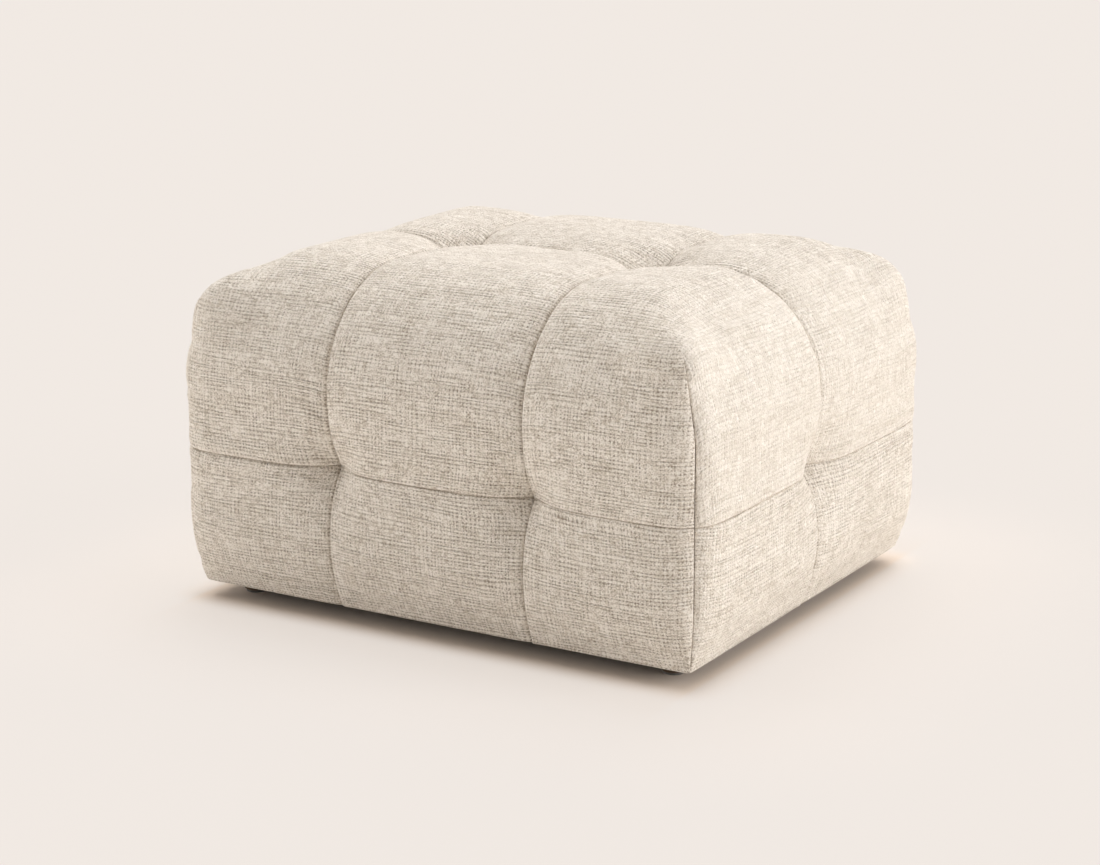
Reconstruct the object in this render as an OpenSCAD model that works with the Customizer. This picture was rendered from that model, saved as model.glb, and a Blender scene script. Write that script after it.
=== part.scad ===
// Tufted pouf: a post-and-rail wooden frame with webbing and foam, in a sewn fabric cover, on four low feet.
// The origin is on the floor under the middle. +X runs along the length, +Y to the back, +Z up.

/* [Size] */
// Overall length across the bulging ends
length = 761; // [741:10:841]
// Overall depth across the bulging front and back
depth = 641; // [621:10:721]
// Overall height
height = 446; // [436:2:476]
// Height of a foot with its glide
foot_h = 17; // [15:1:30]
// Width of a foot at its top
foot_w = 42; // [36:1:50]

/* [Cover] */
// Thickness of the cover fabric with its lining
cover_t = 3; // [2:0.5:4]
// Radius of the soft edge round the top
edge_r = 148; // [138:2:158]
// Distance of the cross seams from the middle
seam_x = 139; // [120:1:160]
// Height of the waist seam
seam_z = 198; // [190:1:210]
// Crown of a side cell above its seams
side_crown = 7; // [4:1:12]
// Crown of a top cell above its seams
top_crown = 11; // [6:1:16]
// Half width of the valley along a seam
valley = 27; // [20:1:34]
// Depth of a tuft in the sides
side_tuft = 26; // [16:1:27]
// Depth of a tuft in the top
top_tuft = 43; // [30:1:45]
// Reach of a tuft's dimple
tuft_r = 34; // [26:1:42]
// How far the bottom edge is drawn in from the sides
draw_in = 23; // [18:1:25]
// Height over which the sides are drawn in
draw_h = 97; // [80:1:120]
// How pointed the top corners are
corner_peak = 1.5; // [0.8:0.1:1.8]
// How far the crowns fade towards the top corners
corner_fade = 1.3; // [0.8:0.1:1.5]
// How far the top corners are drawn in lengthwise
corner_in = 5; // [0:1:10]
// How far the top corners stand out towards the front and the back
corner_out = 8; // [0:1:12]
// Width of the hem under the frame
hem = 30; // [24:1:36]

/* [Padding] */
// Thickness of the side padding at the bottom edge
base_pad = 9; // [8:1:12]
// Thickness of the top padding at a seam
top_pad = 55; // [54:1:60]
// Height of the seat foam
core_h = 85; // [70:1:95]
// Bevel of the seat foam on each side
core_bevel = 38; // [30:1:46]

/* [Frame] */
// Width of a corner post
post_w = 56; // [50:1:62]
// Thickness of a rail
rail_t = 22; // [18:1:26]
// Height of a bottom rail
low_rail_h = 70; // [60:1:90]
// Height of a top rail
top_rail_h = 50; // [44:1:60]
// Thickness of a side board
board_t = 4; // [3:1:6]
// Width of a webbing strap
strap_w = 60; // [50:1:64]
// Thickness of a webbing strap
strap_t = 2; // [1.5:0.5:2.5]

/* [Hidden] */
$fn = 48;

FABRIC = [0.83, 0.79, 0.72];
WOOD = [0.80, 0.66, 0.45];
PLY = [0.76, 0.60, 0.40];
STEEL = [0.62, 0.63, 0.65];
FOAM = [0.93, 0.90, 0.78];

// Outer faces of the cover's base shape before its crowns, and the box that it is drawn in to
face_x = length / 2 - side_crown;
face_y = depth / 2 - side_crown;
face_z = height - top_crown;
base_x = face_x - draw_in;
base_y = face_y - draw_in;
// Squareness of the corners seen from above
plan_power = 8;
// Size of the round along the bottom edge
turn = 6;
waist_depth = 0.25;
waist_w = 14;
dart_w = 26;
dart_drop = 43;
dart_top = face_z - dart_drop;
// Height over which a dart fades in below its top
dart_fade = 60;
tuft_power = 1.35;
valley_power = 1.15;
// Clearance between the cover and its padding
slack = 0.3;

// Layers under the frame, from the floor up
dust_t = 1;
cover_z = foot_h + dust_t;
frame_z = cover_z + cover_t;
pad_z = cover_z + turn;

// Planes of the boards, the frame and the seat foam
board_x = base_x - cover_t - base_pad;
board_y = base_y - cover_t - base_pad;
frame_x = board_x - board_t;
frame_y = board_y - board_t;
foam_top = face_z - top_pad;
foam_z = foam_top - core_h;
cloth_t = 1;
rail_top = foam_z - cloth_t - 2 * strap_t;
core_x = board_x - core_bevel;
core_y = board_y - core_bevel;
post_x = frame_x - post_w / 2;
post_y = frame_y - post_w / 2;
span_x = frame_x - post_w;
span_y = frame_y - post_w;

// Webbing: where the straps lie, and how far a flat stretch reaches past a crossing
strap_gap = 4;
last_strap = span_x - strap_w / 2 - strap_gap;
cross_straps = [-last_strap, -seam_x, 0, seam_x, last_strap];
strap_share = 0.685;
long_straps = [-strap_share * span_y, 0, strap_share * span_y];
flat_reach = strap_w / 2 + 3;
strap_end_x = frame_x - strap_gap;
strap_end_y = frame_y - strap_gap;

// Fasteners. Dowels lie this far from the edges of a bottom, a top and the cross rail.
dowel_d = 10;
dowel_l = 40;
low_dowel_edge = 20;
top_dowel_edge = 14;
cross_dowel_edge = 13;
cross_dowel_in = 14;
cross_rail_h = 50;
post_screw_l = 30;
rail_screw_l = 22;
rail_screw_x = 90;
screw_d = 4;
screw_head = 8;
staple_w = 10;
staple_l = 10;
staple_t = 0.8;
bolt_d = 8;
bolt_z = 6;
bolt_reach = 26;
bolt_top = frame_z + bolt_reach;
insert_d = 12;
insert_h = 18;
flange_d = 18;
flange_h = 1.5;
glide_h = 3;
glide_edge = 8;
twine_d = 2.4;
twine_bore = 4;
knot_d = 7;
washer_d = 30;
washer_t = 3;
// Room that a rail leaves round a washer
washer_gap = 1;
// Heights of the screws in the posts, on the long sides and on the short sides
long_screw_z = [frame_z + low_rail_h - 26, seam_z - 20, rail_top - 24];
short_screw_z = [frame_z + low_rail_h - 10, seam_z + 10, rail_top - 10];
// Where the staples stand along a strap's end, and how far they keep from the ends of the dust cover
strap_staple = 16;
staple_margin = 20;
// How far the middle staple steps aside from the cross rail
staple_step = 24;

// Cells of the cover's grid between two seams
CELLS_X = 6;
CELLS_Y = 7;
CELLS_LOW = 5;
CELLS_TOP = 7;
// Row of the side padding that lies on the top edge of the boards
BEND_ROW = 9;

function lerp(a, b, t) = a + (b - a) * t;
function clamp(v, limit) = max(-limit, min(limit, v));
function eased(t) = 0.5 * t + 0.25 * (1 - cos(180 * t));
function station(a, b, t) = lerp(a, b, eased(t));
function tail(list) = [for (i = [1 : len(list) - 1]) list[i]];
function reversed(list) = [for (i = [len(list) - 1 : -1 : 0]) list[i]];
function bell(s, w, power) = exp(-pow(abs(s) / w, power));

// A point of the upholstered surface. q lies on the plain box face_x, face_y, face_z, and inset moves the
// point inward. The box gets its soft edges, crowned cells, seam valleys, corner darts and tufts.
function skin(q, inset) =
    let (
        core = [clamp(q.x, face_x - edge_r), clamp(q.y, face_y - edge_r), min(q.z, face_z - edge_r)],
        d = (q - core) / edge_r,
        ax = abs(d.x), ay = abs(d.y), az = d.z,
        plan = pow(ax, plan_power) + pow(ay, plan_power),
        square = 5.196 * ax * ay * az / pow(norm(d), 3),
        k = 2 + corner_peak * pow(square, 4),
        n = pow(pow(plan, k / plan_power) + pow(az, k), 1 / k),
        s = plan > 0 ? pow(plan, k / plan_power - 1) : 0,
        gxy = [sign(d.x) * pow(ax, plan_power - 1), sign(d.y) * pow(ay, plan_power - 1)] * s,
        g = [gxy.x, gxy.y, pow(az, k - 1)],
        out = g / norm(g),
        on_y = abs(q.y) > face_y - 0.001,
        on_x = abs(q.x) > face_x - 0.001,
        on_top = q.z > face_z - 0.001,
        side = on_x || on_y,
        gx = on_y || on_top ? bell(abs(q.x) - seam_x, valley, valley_power) : 0,
        gy = on_x || on_top ? bell(q.y, valley, valley_power) : 0,
        gz = side ? waist_depth * bell(q.z - seam_z, waist_w, 1) : 0,
        rise = max(0, min(1, (dart_top - q.z) / dart_fade)),
        from_corner = on_y ? face_x - abs(q.x) : face_y - abs(q.y),
        gd = side ? bell(from_corner, dart_w, 1.2) * rise * rise * (3 - 2 * rise) : 0,
        cell = (1 - gx) * (1 - gy) * (1 - gz) * (1 - gd) * (1 - corner_fade * square * square),
        crown = lerp(side_crown, top_crown, out.z * out.z) * cell,
        up = q.z - seam_z,
        t1 = on_y ? side_tuft * bell(norm([abs(q.x) - seam_x, up]), tuft_r, tuft_power) : 0,
        t2 = on_x ? side_tuft * bell(norm([q.y, up]), tuft_r, tuft_power) : 0,
        t3 = on_top ? top_tuft * bell(norm([abs(q.x) - seam_x, q.y]), tuft_r, tuft_power) : 0,
        lean = [-sign(q.x) * corner_in, sign(q.y) * corner_out, 0] * square * square,
        p = core + d * edge_r / n + out * (crown - t1 - t2 - t3 - inset) + lean,
        pull = side ? pow(max(0, min(1, 1 - (q.z - cover_z) / draw_h)), 2) : 0
    )
    [lerp(p.x, clamp(p.x, base_x - inset), pull), lerp(p.y, clamp(p.y, base_y - inset), pull), p.z];

// A point of the hem under the frame, by how far it lies inside the bottom edge
function hem_point(p, inside, z) = [p.x * (1 - inside / base_x), p.y * (1 - inside / base_y), z];

XS_END = [for (i = [0 : CELLS_X]) station(seam_x, face_x, i / CELLS_X)];
XS_MIDDLE = [for (i = [0 : CELLS_X]) station(-seam_x, seam_x, i / CELLS_X)];
YS = [for (i = [0 : CELLS_Y]) station(face_y, 0, i / CELLS_Y)];
ZS_LOW = [for (i = [0 : CELLS_LOW]) station(cover_z + turn, seam_z, i / CELLS_LOW)];
ZS_TOP = [for (i = [0 : CELLS_TOP]) station(seam_z, face_z, i / CELLS_TOP)];

// Ranks a point the same way on both sides of the middle, so that mirrored pieces split alike
function rank(p) = abs(p.x) + 1.31 * abs(p.y) + 0.73 * p.z;

// Two triangles for a cell whose corners run anticlockwise seen from outside
function halves(c, r) = max(r[c[0]], r[c[2]]) > max(r[c[1]], r[c[3]])
    ? [[c[0], c[2], c[1]], [c[0], c[3], c[2]]]
    : [[c[1], c[3], c[2]], [c[1], c[0], c[3]]];

// Two triangles for the wall under the rim from a to b, down to a2 and b2
function wall(a, b, a2, b2, r) = r[a] > r[b] ? [[a, b, b2], [a, b2, a2]] : [[a, b, a2], [b, b2, a2]];

// Cells and rim of a plain grid of nu by nv cells, whose points are listed column by column
function at(i, j, nv) = i * (nv + 1) + j;
function grid_cells(nu, nv) =
    [for (i = [0 : nu - 1], j = [0 : nv - 1])
        [at(i, j, nv), at(i, j + 1, nv), at(i + 1, j + 1, nv), at(i + 1, j, nv)]];
function grid_rim(nu, nv) = concat(
    [for (j = [0 : nv - 1]) at(0, j, nv)],
    [for (i = [0 : nu - 1]) at(i, nv, nv)],
    [for (j = [nv : -1 : 1]) at(nu, j, nv)],
    [for (i = [nu : -1 : 1]) at(i, 0, nv)]);

// A closed sheet between an outer and an inner set of points
module sheet(outer, inner, cells, rim) {
    m = len(outer);
    n = len(rim);
    r = [for (p = outer) rank(p)];
    polyhedron(points = concat(outer, inner), faces = concat(
        [for (c = cells) each halves(c, r)],
        [for (c = cells) each [for (t = halves(c, r)) [m + t[0], m + t[2], m + t[1]]]],
        [for (k = [0 : n - 1]) each wall(rim[k], rim[(k + 1) % n], m + rim[k], m + rim[(k + 1) % n], r)]));
}

// A closed pad between the surface and flat faces behind it. back holds a point for each point of the rim,
// and each loop names the points round one flat face, which is filled from its middle.
function middle(points) = points * [for (p = points) 1] / len(points);
module pad(outer, cells, rim, back, loops) {
    m = len(outer);
    n = len(rim);
    r = [for (p = outer) rank(p)];
    middles = [for (l = loops) [for (a = [0 : 2]) middle([for (k = l) back[k][a]])]];
    polyhedron(points = concat(outer, back, middles), faces = concat(
        [for (c = cells) each halves(c, r)],
        [for (f = [0 : len(loops) - 1], k = [0 : len(loops[f]) - 1])
            [m + loops[f][k], m + loops[f][(k + 1) % len(loops[f])], m + n + f]],
        [for (k = [0 : n - 1]) each wall(rim[k], rim[(k + 1) % n], m + k, m + (k + 1) % n, r)]));
}

// Places a piece drawn for the right and the back by mirroring it
module placed(right, back) {
    mirror([right ? 0 : 1, 0, 0]) mirror([0, back ? 0 : 1, 0]) children();
}

// A lower panel of the cover: its columns, from the hem under the frame up to the waist seam
function low_column(x, y, inset) =
    let (wall_points = [for (z = ZS_LOW) skin([x, y, z], inset)], edge = skin([x, y, ZS_LOW[0]], 0))
    concat([hem_point(edge, hem, cover_z + inset), hem_point(edge, turn, cover_z + inset)], wall_points);

module low_panel(columns) {
    outer = [for (c = columns) each low_column(c.x, c.y, 0)];
    inner = [for (c = columns) each low_column(c.x, c.y, cover_t)];
    nu = len(columns) - 1;
    nv = CELLS_LOW + 2;
    color(FABRIC) sheet(outer, inner, grid_cells(nu, nv), grid_rim(nu, nv));
}

module low_end_panel() low_panel([for (x = XS_END) [x, face_y]]);
module low_middle_panel() low_panel([for (x = XS_MIDDLE) [x, face_y]]);
module low_side_panel() low_panel([for (y = YS) [face_x, y]]);

// The middle panel of the top: up the back face and over to the lengthwise seam
module top_middle_panel() {
    path = concat([for (z = ZS_TOP) [face_y, z]], [for (y = tail(YS)) [y, face_z]]);
    outer = [for (x = XS_MIDDLE, p = path) skin([x, p[0], p[1]], 0)];
    inner = [for (x = XS_MIDDLE, p = path) skin([x, p[0], p[1]], cover_t)];
    nv = CELLS_TOP + CELLS_Y;
    color(FABRIC) sheet(outer, inner, grid_cells(CELLS_X, nv), grid_rim(CELLS_X, nv));
}

// A corner panel of the top: one grid wraps round the corner and a second closes the top of it
module top_corner_panel() {
    nz = CELLS_TOP;
    around = concat([for (x = XS_END) [x, face_y]], [for (y = tail(YS)) [face_x, y]]);
    walls = [for (p = around, z = ZS_TOP) [p.x, p.y, z]];
    lid = [for (i = [0 : CELLS_X - 1], k = [1 : CELLS_Y]) [XS_END[i], YS[k], face_z]];
    m = len(walls);
    function lid_at(i, k) = k == 0 ? at(i, nz, nz)
        : i == CELLS_X ? at(CELLS_X + k, nz, nz)
        : m + i * CELLS_Y + k - 1;
    cells = concat(
        grid_cells(CELLS_X + CELLS_Y, nz),
        [for (i = [0 : CELLS_X - 1], k = [0 : CELLS_Y - 1])
            [lid_at(i, k), lid_at(i, k + 1), lid_at(i + 1, k + 1), lid_at(i + 1, k)]]);
    last = CELLS_X + CELLS_Y;
    rim = concat(
        [for (j = [0 : nz]) at(0, j, nz)],
        [for (k = [1 : CELLS_Y]) lid_at(0, k)],
        [for (i = [1 : CELLS_X]) lid_at(i, CELLS_Y)],
        [for (j = [nz - 1 : -1 : 0]) at(last, j, nz)],
        [for (i = [last - 1 : -1 : 1]) at(i, 0, nz)]);
    points = concat(walls, lid);
    color(FABRIC) sheet([for (q = points) skin(q, 0)], [for (q = points) skin(q, cover_t)], cells, rim);
}

// Rows of the side padding, and the point behind each row where two pads meet
PAD_ZS = concat(ZS_LOW, tail(ZS_TOP));
PAD_XS = concat([for (x = reversed(XS_END)) -x], tail(XS_MIDDLE), tail(XS_END));
PAD_YS = concat(YS, tail([for (y = reversed(YS)) -y]));
ROWS = CELLS_LOW + CELLS_TOP;
function behind(sx, sy, j) = j <= BEND_ROW
    ? [sx * board_x, sy * board_y, lerp(pad_z, foam_z, j / BEND_ROW)]
    : let (t = (j - BEND_ROW) / (ROWS - BEND_ROW))
        [sx * lerp(board_x, core_x, t), sy * lerp(board_y, core_y, t), lerp(foam_z, foam_top, t)];

// Padding of one side, along stations that run from one corner to the other
module side_pad(stations_xy) {
    nu = len(stations_xy) - 1;
    outer = [for (s = stations_xy, z = PAD_ZS) skin([s.x, s.y, z], cover_t + slack)];
    share = [for (s = stations_xy) [s.x / face_x, s.y / face_y]];
    back = concat(
        [for (j = [0 : ROWS - 1]) behind(share[0].x, share[0].y, j)],
        [for (i = [0 : nu - 1]) behind(share[i].x, share[i].y, ROWS)],
        [for (j = [ROWS : -1 : 1]) behind(share[nu].x, share[nu].y, j)],
        [for (i = [nu : -1 : 1]) behind(share[i].x, share[i].y, 0)]);
    far = nu + 2 * ROWS - BEND_ROW;
    lower = concat([for (k = [far : len(back) - 1]) k], [for (k = [0 : BEND_ROW]) k]);
    upper = [for (k = [BEND_ROW : far]) k];
    pad(outer, grid_cells(nu, ROWS), grid_rim(nu, ROWS), back, [lower, upper]);
}

module long_pad() {
    color(FOAM) difference() {
        side_pad([for (x = PAD_XS) [x, face_y]]);
        tuft_bores_long();
    }
}

module short_pad() {
    color(FOAM) difference() {
        side_pad([for (y = PAD_YS) [face_x, y]]);
        tuft_bore_short();
    }
}

module pad_top() {
    nu = len(PAD_XS) - 1;
    nv = len(PAD_YS) - 1;
    outer = [for (x = PAD_XS, y = PAD_YS) skin([x, y, face_z], cover_t + slack)];
    function under(x, y) = [x / face_x * core_x, y / face_y * core_y, foam_top];
    back = concat(
        [for (j = [0 : nv - 1]) under(PAD_XS[0], PAD_YS[j])],
        [for (i = [0 : nu - 1]) under(PAD_XS[i], PAD_YS[nv])],
        [for (j = [nv : -1 : 1]) under(PAD_XS[nu], PAD_YS[j])],
        [for (i = [nu : -1 : 1]) under(PAD_XS[i], PAD_YS[0])]);
    color(FOAM) difference() {
        pad(outer, grid_cells(nu, nv), grid_rim(nu, nv), back, [[for (k = [0 : len(back) - 1]) k]]);
        top_tuft_bores(foam_top - 1, face_z);
    }
}

module pad_front() placed(true, false) long_pad();
module pad_back() placed(true, true) long_pad();
module pad_left() placed(false, true) short_pad();
module pad_right() placed(true, true) short_pad();

// Bores for the twines, and the twines, on the side that each module draws
module tuft_bores_long() {
    for (x = [-seam_x, seam_x]) translate([x, face_y, seam_z]) rotate([90, 0, 0])
        cylinder(d = twine_bore, h = face_y - frame_y + 1);
}
module tuft_bore_short() {
    translate([face_x, 0, seam_z]) rotate([0, -90, 0]) cylinder(d = twine_bore, h = face_x - frame_x + 1);
}
module top_tuft_bores(from, to) {
    for (x = [-seam_x, seam_x]) translate([x, 0, from]) cylinder(d = twine_bore, h = to - from);
}

// A twine with its knot behind the washer. Its length runs from the washer to the cover.
module twine(l) {
    cylinder(d = twine_d, h = l);
    translate([0, 0, -knot_d / 2 + 0.6]) sphere(d = knot_d);
}
module washer() {
    difference() {
        cylinder(d = washer_d, h = washer_t);
        translate([0, 0, -1]) cylinder(d = twine_bore, h = washer_t + 2);
    }
}
// Room for a washer and its knot through a rail that comes as high or as low as the tufts
module washer_room() {
    translate([0, 0, washer_t - rail_t - 1]) cylinder(d = washer_d + 2 * washer_gap, h = rail_t + 2);
}
// Stands a piece on the inside of each side board, pointing outward, at every tuft of the sides
module at_side_tufts() {
    for (s = [-1, 1]) {
        for (x = [-seam_x, seam_x])
            translate([x, s * (frame_y - washer_t), seam_z]) rotate([-s * 90, 0, 0]) children(0);
        translate([s * (frame_x - washer_t), 0, seam_z]) rotate([0, s * 90, 0]) children(1);
    }
}
module at_top_tufts() {
    for (x = [-seam_x, seam_x]) translate([x, 0, rail_top - washer_t]) children();
}
module tuft_twines_side() {
    deep = side_tuft + cover_t;
    color([0.9, 0.88, 0.82]) at_side_tufts() {
        twine(face_y - deep - frame_y + washer_t);
        twine(face_x - deep - frame_x + washer_t);
    }
}
module tuft_twines_top() {
    color([0.9, 0.88, 0.82]) at_top_tufts() twine(face_z - top_tuft - cover_t - rail_top + washer_t);
}
module tuft_washers() {
    color([0.35, 0.33, 0.30]) {
        at_side_tufts() { washer(); washer(); }
        at_top_tufts() washer();
    }
}

// Fasteners of the frame
module dowel() cylinder(d = dowel_d, h = dowel_l);

// Every dowel of the frame
module dowels() {
    low = [frame_z + low_dowel_edge, frame_z + low_rail_h - low_dowel_edge];
    high = [rail_top - top_dowel_edge, rail_top - top_rail_h + top_dowel_edge];
    for (sx = [-1, 1], sy = [-1, 1], z = concat(low, high)) {
        translate([sx * (span_x - dowel_l / 2), sy * (frame_y - rail_t / 2), z])
            rotate([0, sx * 90, 0]) dowel();
        translate([sx * (frame_x - rail_t / 2), sy * (span_y - dowel_l / 2), z])
            rotate([-sy * 90, 0, 0]) dowel();
    }
    for (sy = [-1, 1], z = [frame_z + cross_dowel_edge, frame_z + cross_rail_h - cross_dowel_edge])
        translate([0, sy * (frame_y - rail_t + cross_dowel_in - dowel_l), z])
            rotate([-sy * 90, 0, 0]) dowel();
}
module frame_dowels() color([0.86, 0.74, 0.54]) dowels();

module screw(l) {
    rotate_extrude()
        polygon([[0, 0], [screw_head / 2, 0], [screw_d / 2, 2.6], [screw_d / 2, l - 4], [0, l]]);
}
// Screws that hold the boards: into the posts and rails, from the outside
module screws() {
    for (sy = [-1, 1]) {
        for (x = [-post_x, post_x], z = long_screw_z)
            translate([x, sy * board_y, z]) rotate([sy * 90, 0, 0]) screw(post_screw_l);
        for (x = [-rail_screw_x, rail_screw_x], z = [frame_z + low_rail_h / 2, rail_top - top_rail_h / 2])
            translate([x, sy * board_y, z]) rotate([sy * 90, 0, 0]) screw(rail_screw_l);
    }
    for (sx = [-1, 1]) {
        for (y = [-post_y, post_y], z = short_screw_z)
            translate([sx * board_x, y, z]) rotate([0, -sx * 90, 0]) screw(post_screw_l);
    }
}
module board_screws() color(STEEL) screws();

// A staple with its legs down, its crown on z = 0 and above
module staple() {
    translate([-staple_w / 2, -staple_t / 2, 0]) cube([staple_w, staple_t, staple_t]);
    for (s = [-1, 1]) translate([s * (staple_w - staple_t) / 2 - staple_t / 2, -staple_t / 2, -staple_l])
        cube([staple_t, staple_t, staple_l + staple_t]);
}
module webbing_staple_set() {
    for (s = [-1, 1]) {
        for (x = cross_straps, dx = [-strap_staple, strap_staple])
            translate([x + dx, s * (frame_y - rail_t / 2), rail_top + strap_t]) staple();
        for (y = long_straps, dy = [-strap_staple, strap_staple])
            translate([s * (frame_x - rail_t / 2), y + dy, rail_top + strap_t]) rotate(90) staple();
    }
}
module webbing_staples() color(STEEL) webbing_staple_set();

module dust_staple_set() {
    inner_x = (frame_x - rail_t + base_x - hem) / 2;
    inner_y = (frame_y - rail_t + base_y - hem) / 2;
    mirror([0, 0, 1]) translate([0, 0, -foot_h]) for (s = [-1, 1]) {
        for (i = [-4 : 4])
            translate([i * (span_x - staple_margin) / 4 + (i == 0 ? staple_step : 0), s * inner_y, 0])
                staple();
        for (i = [-3 : 3])
            translate([s * inner_x, i * (span_y - staple_margin) / 3, 0]) rotate(90) staple();
    }
}
module dust_cover_staples() color(STEEL) dust_staple_set();

// Frame
module post_blank() {
    translate([span_x, span_y, frame_z]) cube([post_w, post_w, rail_top - frame_z]);
}
module at_feet() {
    for (sx = [-1, 1], sy = [-1, 1]) translate([sx * post_x, sy * post_y, 0]) children();
}
module corner_post(right, back) {
    color(WOOD) difference() {
        placed(right, back) post_blank();
        dowels();
        screws();
        inserts_solid();
        at_feet() translate([0, 0, frame_z - 1]) cylinder(d = bolt_d + 1, h = bolt_top - frame_z + 2);
    }
}
module rail_x(sy, z, h) {
    color(WOOD) difference() {
        translate([-span_x, sy > 0 ? frame_y - rail_t : -frame_y, z]) cube([2 * span_x, rail_t, h]);
        dowels();
        screws();
        webbing_staple_set();
        dust_staple_set();
        at_side_tufts() {
            washer_room();
            washer_room();
        }
    }
}
module rail_y(sx, z, h) {
    color(WOOD) difference() {
        translate([sx > 0 ? frame_x - rail_t : -frame_x, -span_y, z]) cube([rail_t, 2 * span_y, h]);
        dowels();
        webbing_staple_set();
        dust_staple_set();
        at_side_tufts() {
            washer_room();
            washer_room();
        }
    }
}
module bottom_cross_rail() {
    color(WOOD) difference() {
        translate([-rail_t / 2, -(frame_y - rail_t), frame_z])
            cube([rail_t, 2 * (frame_y - rail_t), cross_rail_h]);
        dowels();
    }
}
module board_x_way(sy) {
    color(PLY) difference() {
        translate([-board_x, sy > 0 ? frame_y : -board_y, frame_z])
            cube([2 * board_x, board_t, foam_z - frame_z]);
        screws();
        placed(true, sy > 0) tuft_bores_long();
    }
}
module board_y_way(sx) {
    color(PLY) difference() {
        translate([sx > 0 ? frame_x : -board_x, -frame_y, frame_z])
            cube([board_t, 2 * frame_y, foam_z - frame_z]);
        screws();
        placed(sx > 0, true) tuft_bore_short();
    }
}

// Webbing: a strap rises over every second strap that it crosses
function strap_path(stops, first, end) = concat(
    [[-end, 0]],
    [for (j = [0 : len(stops) - 1]) let (h = (first + j) % 2 == 0 ? strap_t : 0)
        each [[stops[j] - flat_reach, h], [stops[j] + flat_reach, h]]],
    [[end, 0]]);
module strap(stops, first, end) {
    path = strap_path(stops, first, end);
    translate([0, strap_w / 2, 0]) rotate([90, 0, 0]) linear_extrude(strap_w)
        polygon(concat(path, [for (p = reversed(path)) p + [0, strap_t]]));
}
module webbing_lengthwise() {
    color([0.75, 0.70, 0.60]) difference() {
        for (j = [0 : len(long_straps) - 1])
            translate([0, long_straps[j], rail_top]) strap(cross_straps, j + 1, strap_end_x);
        top_tuft_bores(rail_top - 1, foam_z);
        webbing_staple_set();
    }
}
module webbing_crosswise() {
    color([0.72, 0.66, 0.56]) difference() {
        for (i = [0 : len(cross_straps) - 1])
            translate([cross_straps[i], 0, rail_top]) rotate(90) strap(long_straps, i, strap_end_y);
        top_tuft_bores(rail_top - 1, foam_z);
        webbing_staple_set();
    }
}
module platform_cloth() {
    color([0.88, 0.86, 0.82]) difference() {
        translate([-frame_x + 1, -frame_y + 1, foam_z - cloth_t])
            cube([2 * frame_x - 2, 2 * frame_y - 2, cloth_t]);
        top_tuft_bores(foam_z - 3, foam_z + 1);
    }
}
module foam_profile(half_low, half_top) {
    polygon([[-half_low, foam_z], [half_low, foam_z], [half_top, foam_top], [-half_top, foam_top]]);
}
module seat_foam() {
    color(FOAM) difference() {
        intersection() {
            translate([0, board_y, 0]) rotate([90, 0, 0])
                linear_extrude(2 * board_y) foam_profile(board_x, core_x);
            translate([-board_x, 0, 0]) rotate([90, 0, 90])
                linear_extrude(2 * board_x) foam_profile(board_y, core_y);
        }
        top_tuft_bores(foam_z - 1, foam_top + 1);
    }
}

// Underside and feet
module dust_cover() {
    color([0.10, 0.10, 0.11]) difference() {
        translate([-board_x, -board_y, foot_h]) cube([2 * board_x, 2 * board_y, dust_t]);
        at_feet() translate([0, 0, foot_h - 1]) cylinder(d = bolt_d + 2, h = dust_t + 2);
        dust_staple_set();
    }
}
module foot(right, back) {
    r = foot_w / 2;
    color([0.16, 0.10, 0.07]) placed(right, back) translate([post_x, post_y, 0]) difference() {
        rotate_extrude() polygon([
            [0, glide_h], [r - 7, glide_h], [r - 5.5, glide_h + 1.5],
            [r - 1.2, foot_h - 2], [r - 1, foot_h - 1], [r - 1.6, foot_h], [0, foot_h]]);
        translate([0, 0, bolt_z]) cylinder(d = bolt_d, h = foot_h);
    }
}
module foot_glides() {
    color([0.55, 0.52, 0.48]) at_feet() cylinder(d = foot_w - 2 * glide_edge, h = glide_h);
}
module foot_bolts() {
    color(STEEL) at_feet() translate([0, 0, bolt_z]) cylinder(d = bolt_d, h = bolt_top - bolt_z);
}
module inserts_solid() {
    at_feet() translate([0, 0, frame_z]) {
        cylinder(d = flange_d, h = flange_h);
        cylinder(d = insert_d, h = insert_h);
    }
}
module foot_inserts() {
    color(STEEL) difference() {
        inserts_solid();
        at_feet() translate([0, 0, frame_z - 1]) cylinder(d = bolt_d, h = insert_h + 2);
    }
}

corner_post(false, false);  // corner_post_front_left
corner_post(true, false);  // corner_post_front_right
corner_post(false, true);  // corner_post_back_left
corner_post(true, true);  // corner_post_back_right
rail_x(-1, frame_z, low_rail_h);  // bottom_rail_front
rail_x(1, frame_z, low_rail_h);  // bottom_rail_back
rail_y(-1, frame_z, low_rail_h);  // bottom_rail_left
rail_y(1, frame_z, low_rail_h);  // bottom_rail_right
bottom_cross_rail();
rail_x(-1, rail_top - top_rail_h, top_rail_h);  // top_rail_front
rail_x(1, rail_top - top_rail_h, top_rail_h);  // top_rail_back
rail_y(-1, rail_top - top_rail_h, top_rail_h);  // top_rail_left
rail_y(1, rail_top - top_rail_h, top_rail_h);  // top_rail_right
frame_dowels();
board_x_way(-1);  // side_board_front
board_x_way(1);  // side_board_back
board_y_way(-1);  // side_board_left
board_y_way(1);  // side_board_right
board_screws();
webbing_lengthwise();
webbing_crosswise();
webbing_staples();
platform_cloth();
seat_foam();
pad_top();
pad_front();
pad_back();
pad_left();
pad_right();
placed(false, false) top_corner_panel();  // cover_top_front_left
placed(true, false) top_middle_panel();  // cover_top_front_middle
placed(true, false) top_corner_panel();  // cover_top_front_right
placed(false, true) top_corner_panel();  // cover_top_back_left
placed(true, true) top_middle_panel();  // cover_top_back_middle
placed(true, true) top_corner_panel();  // cover_top_back_right
placed(false, false) low_end_panel();  // cover_low_front_left
placed(true, false) low_middle_panel();  // cover_low_front_middle
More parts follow.
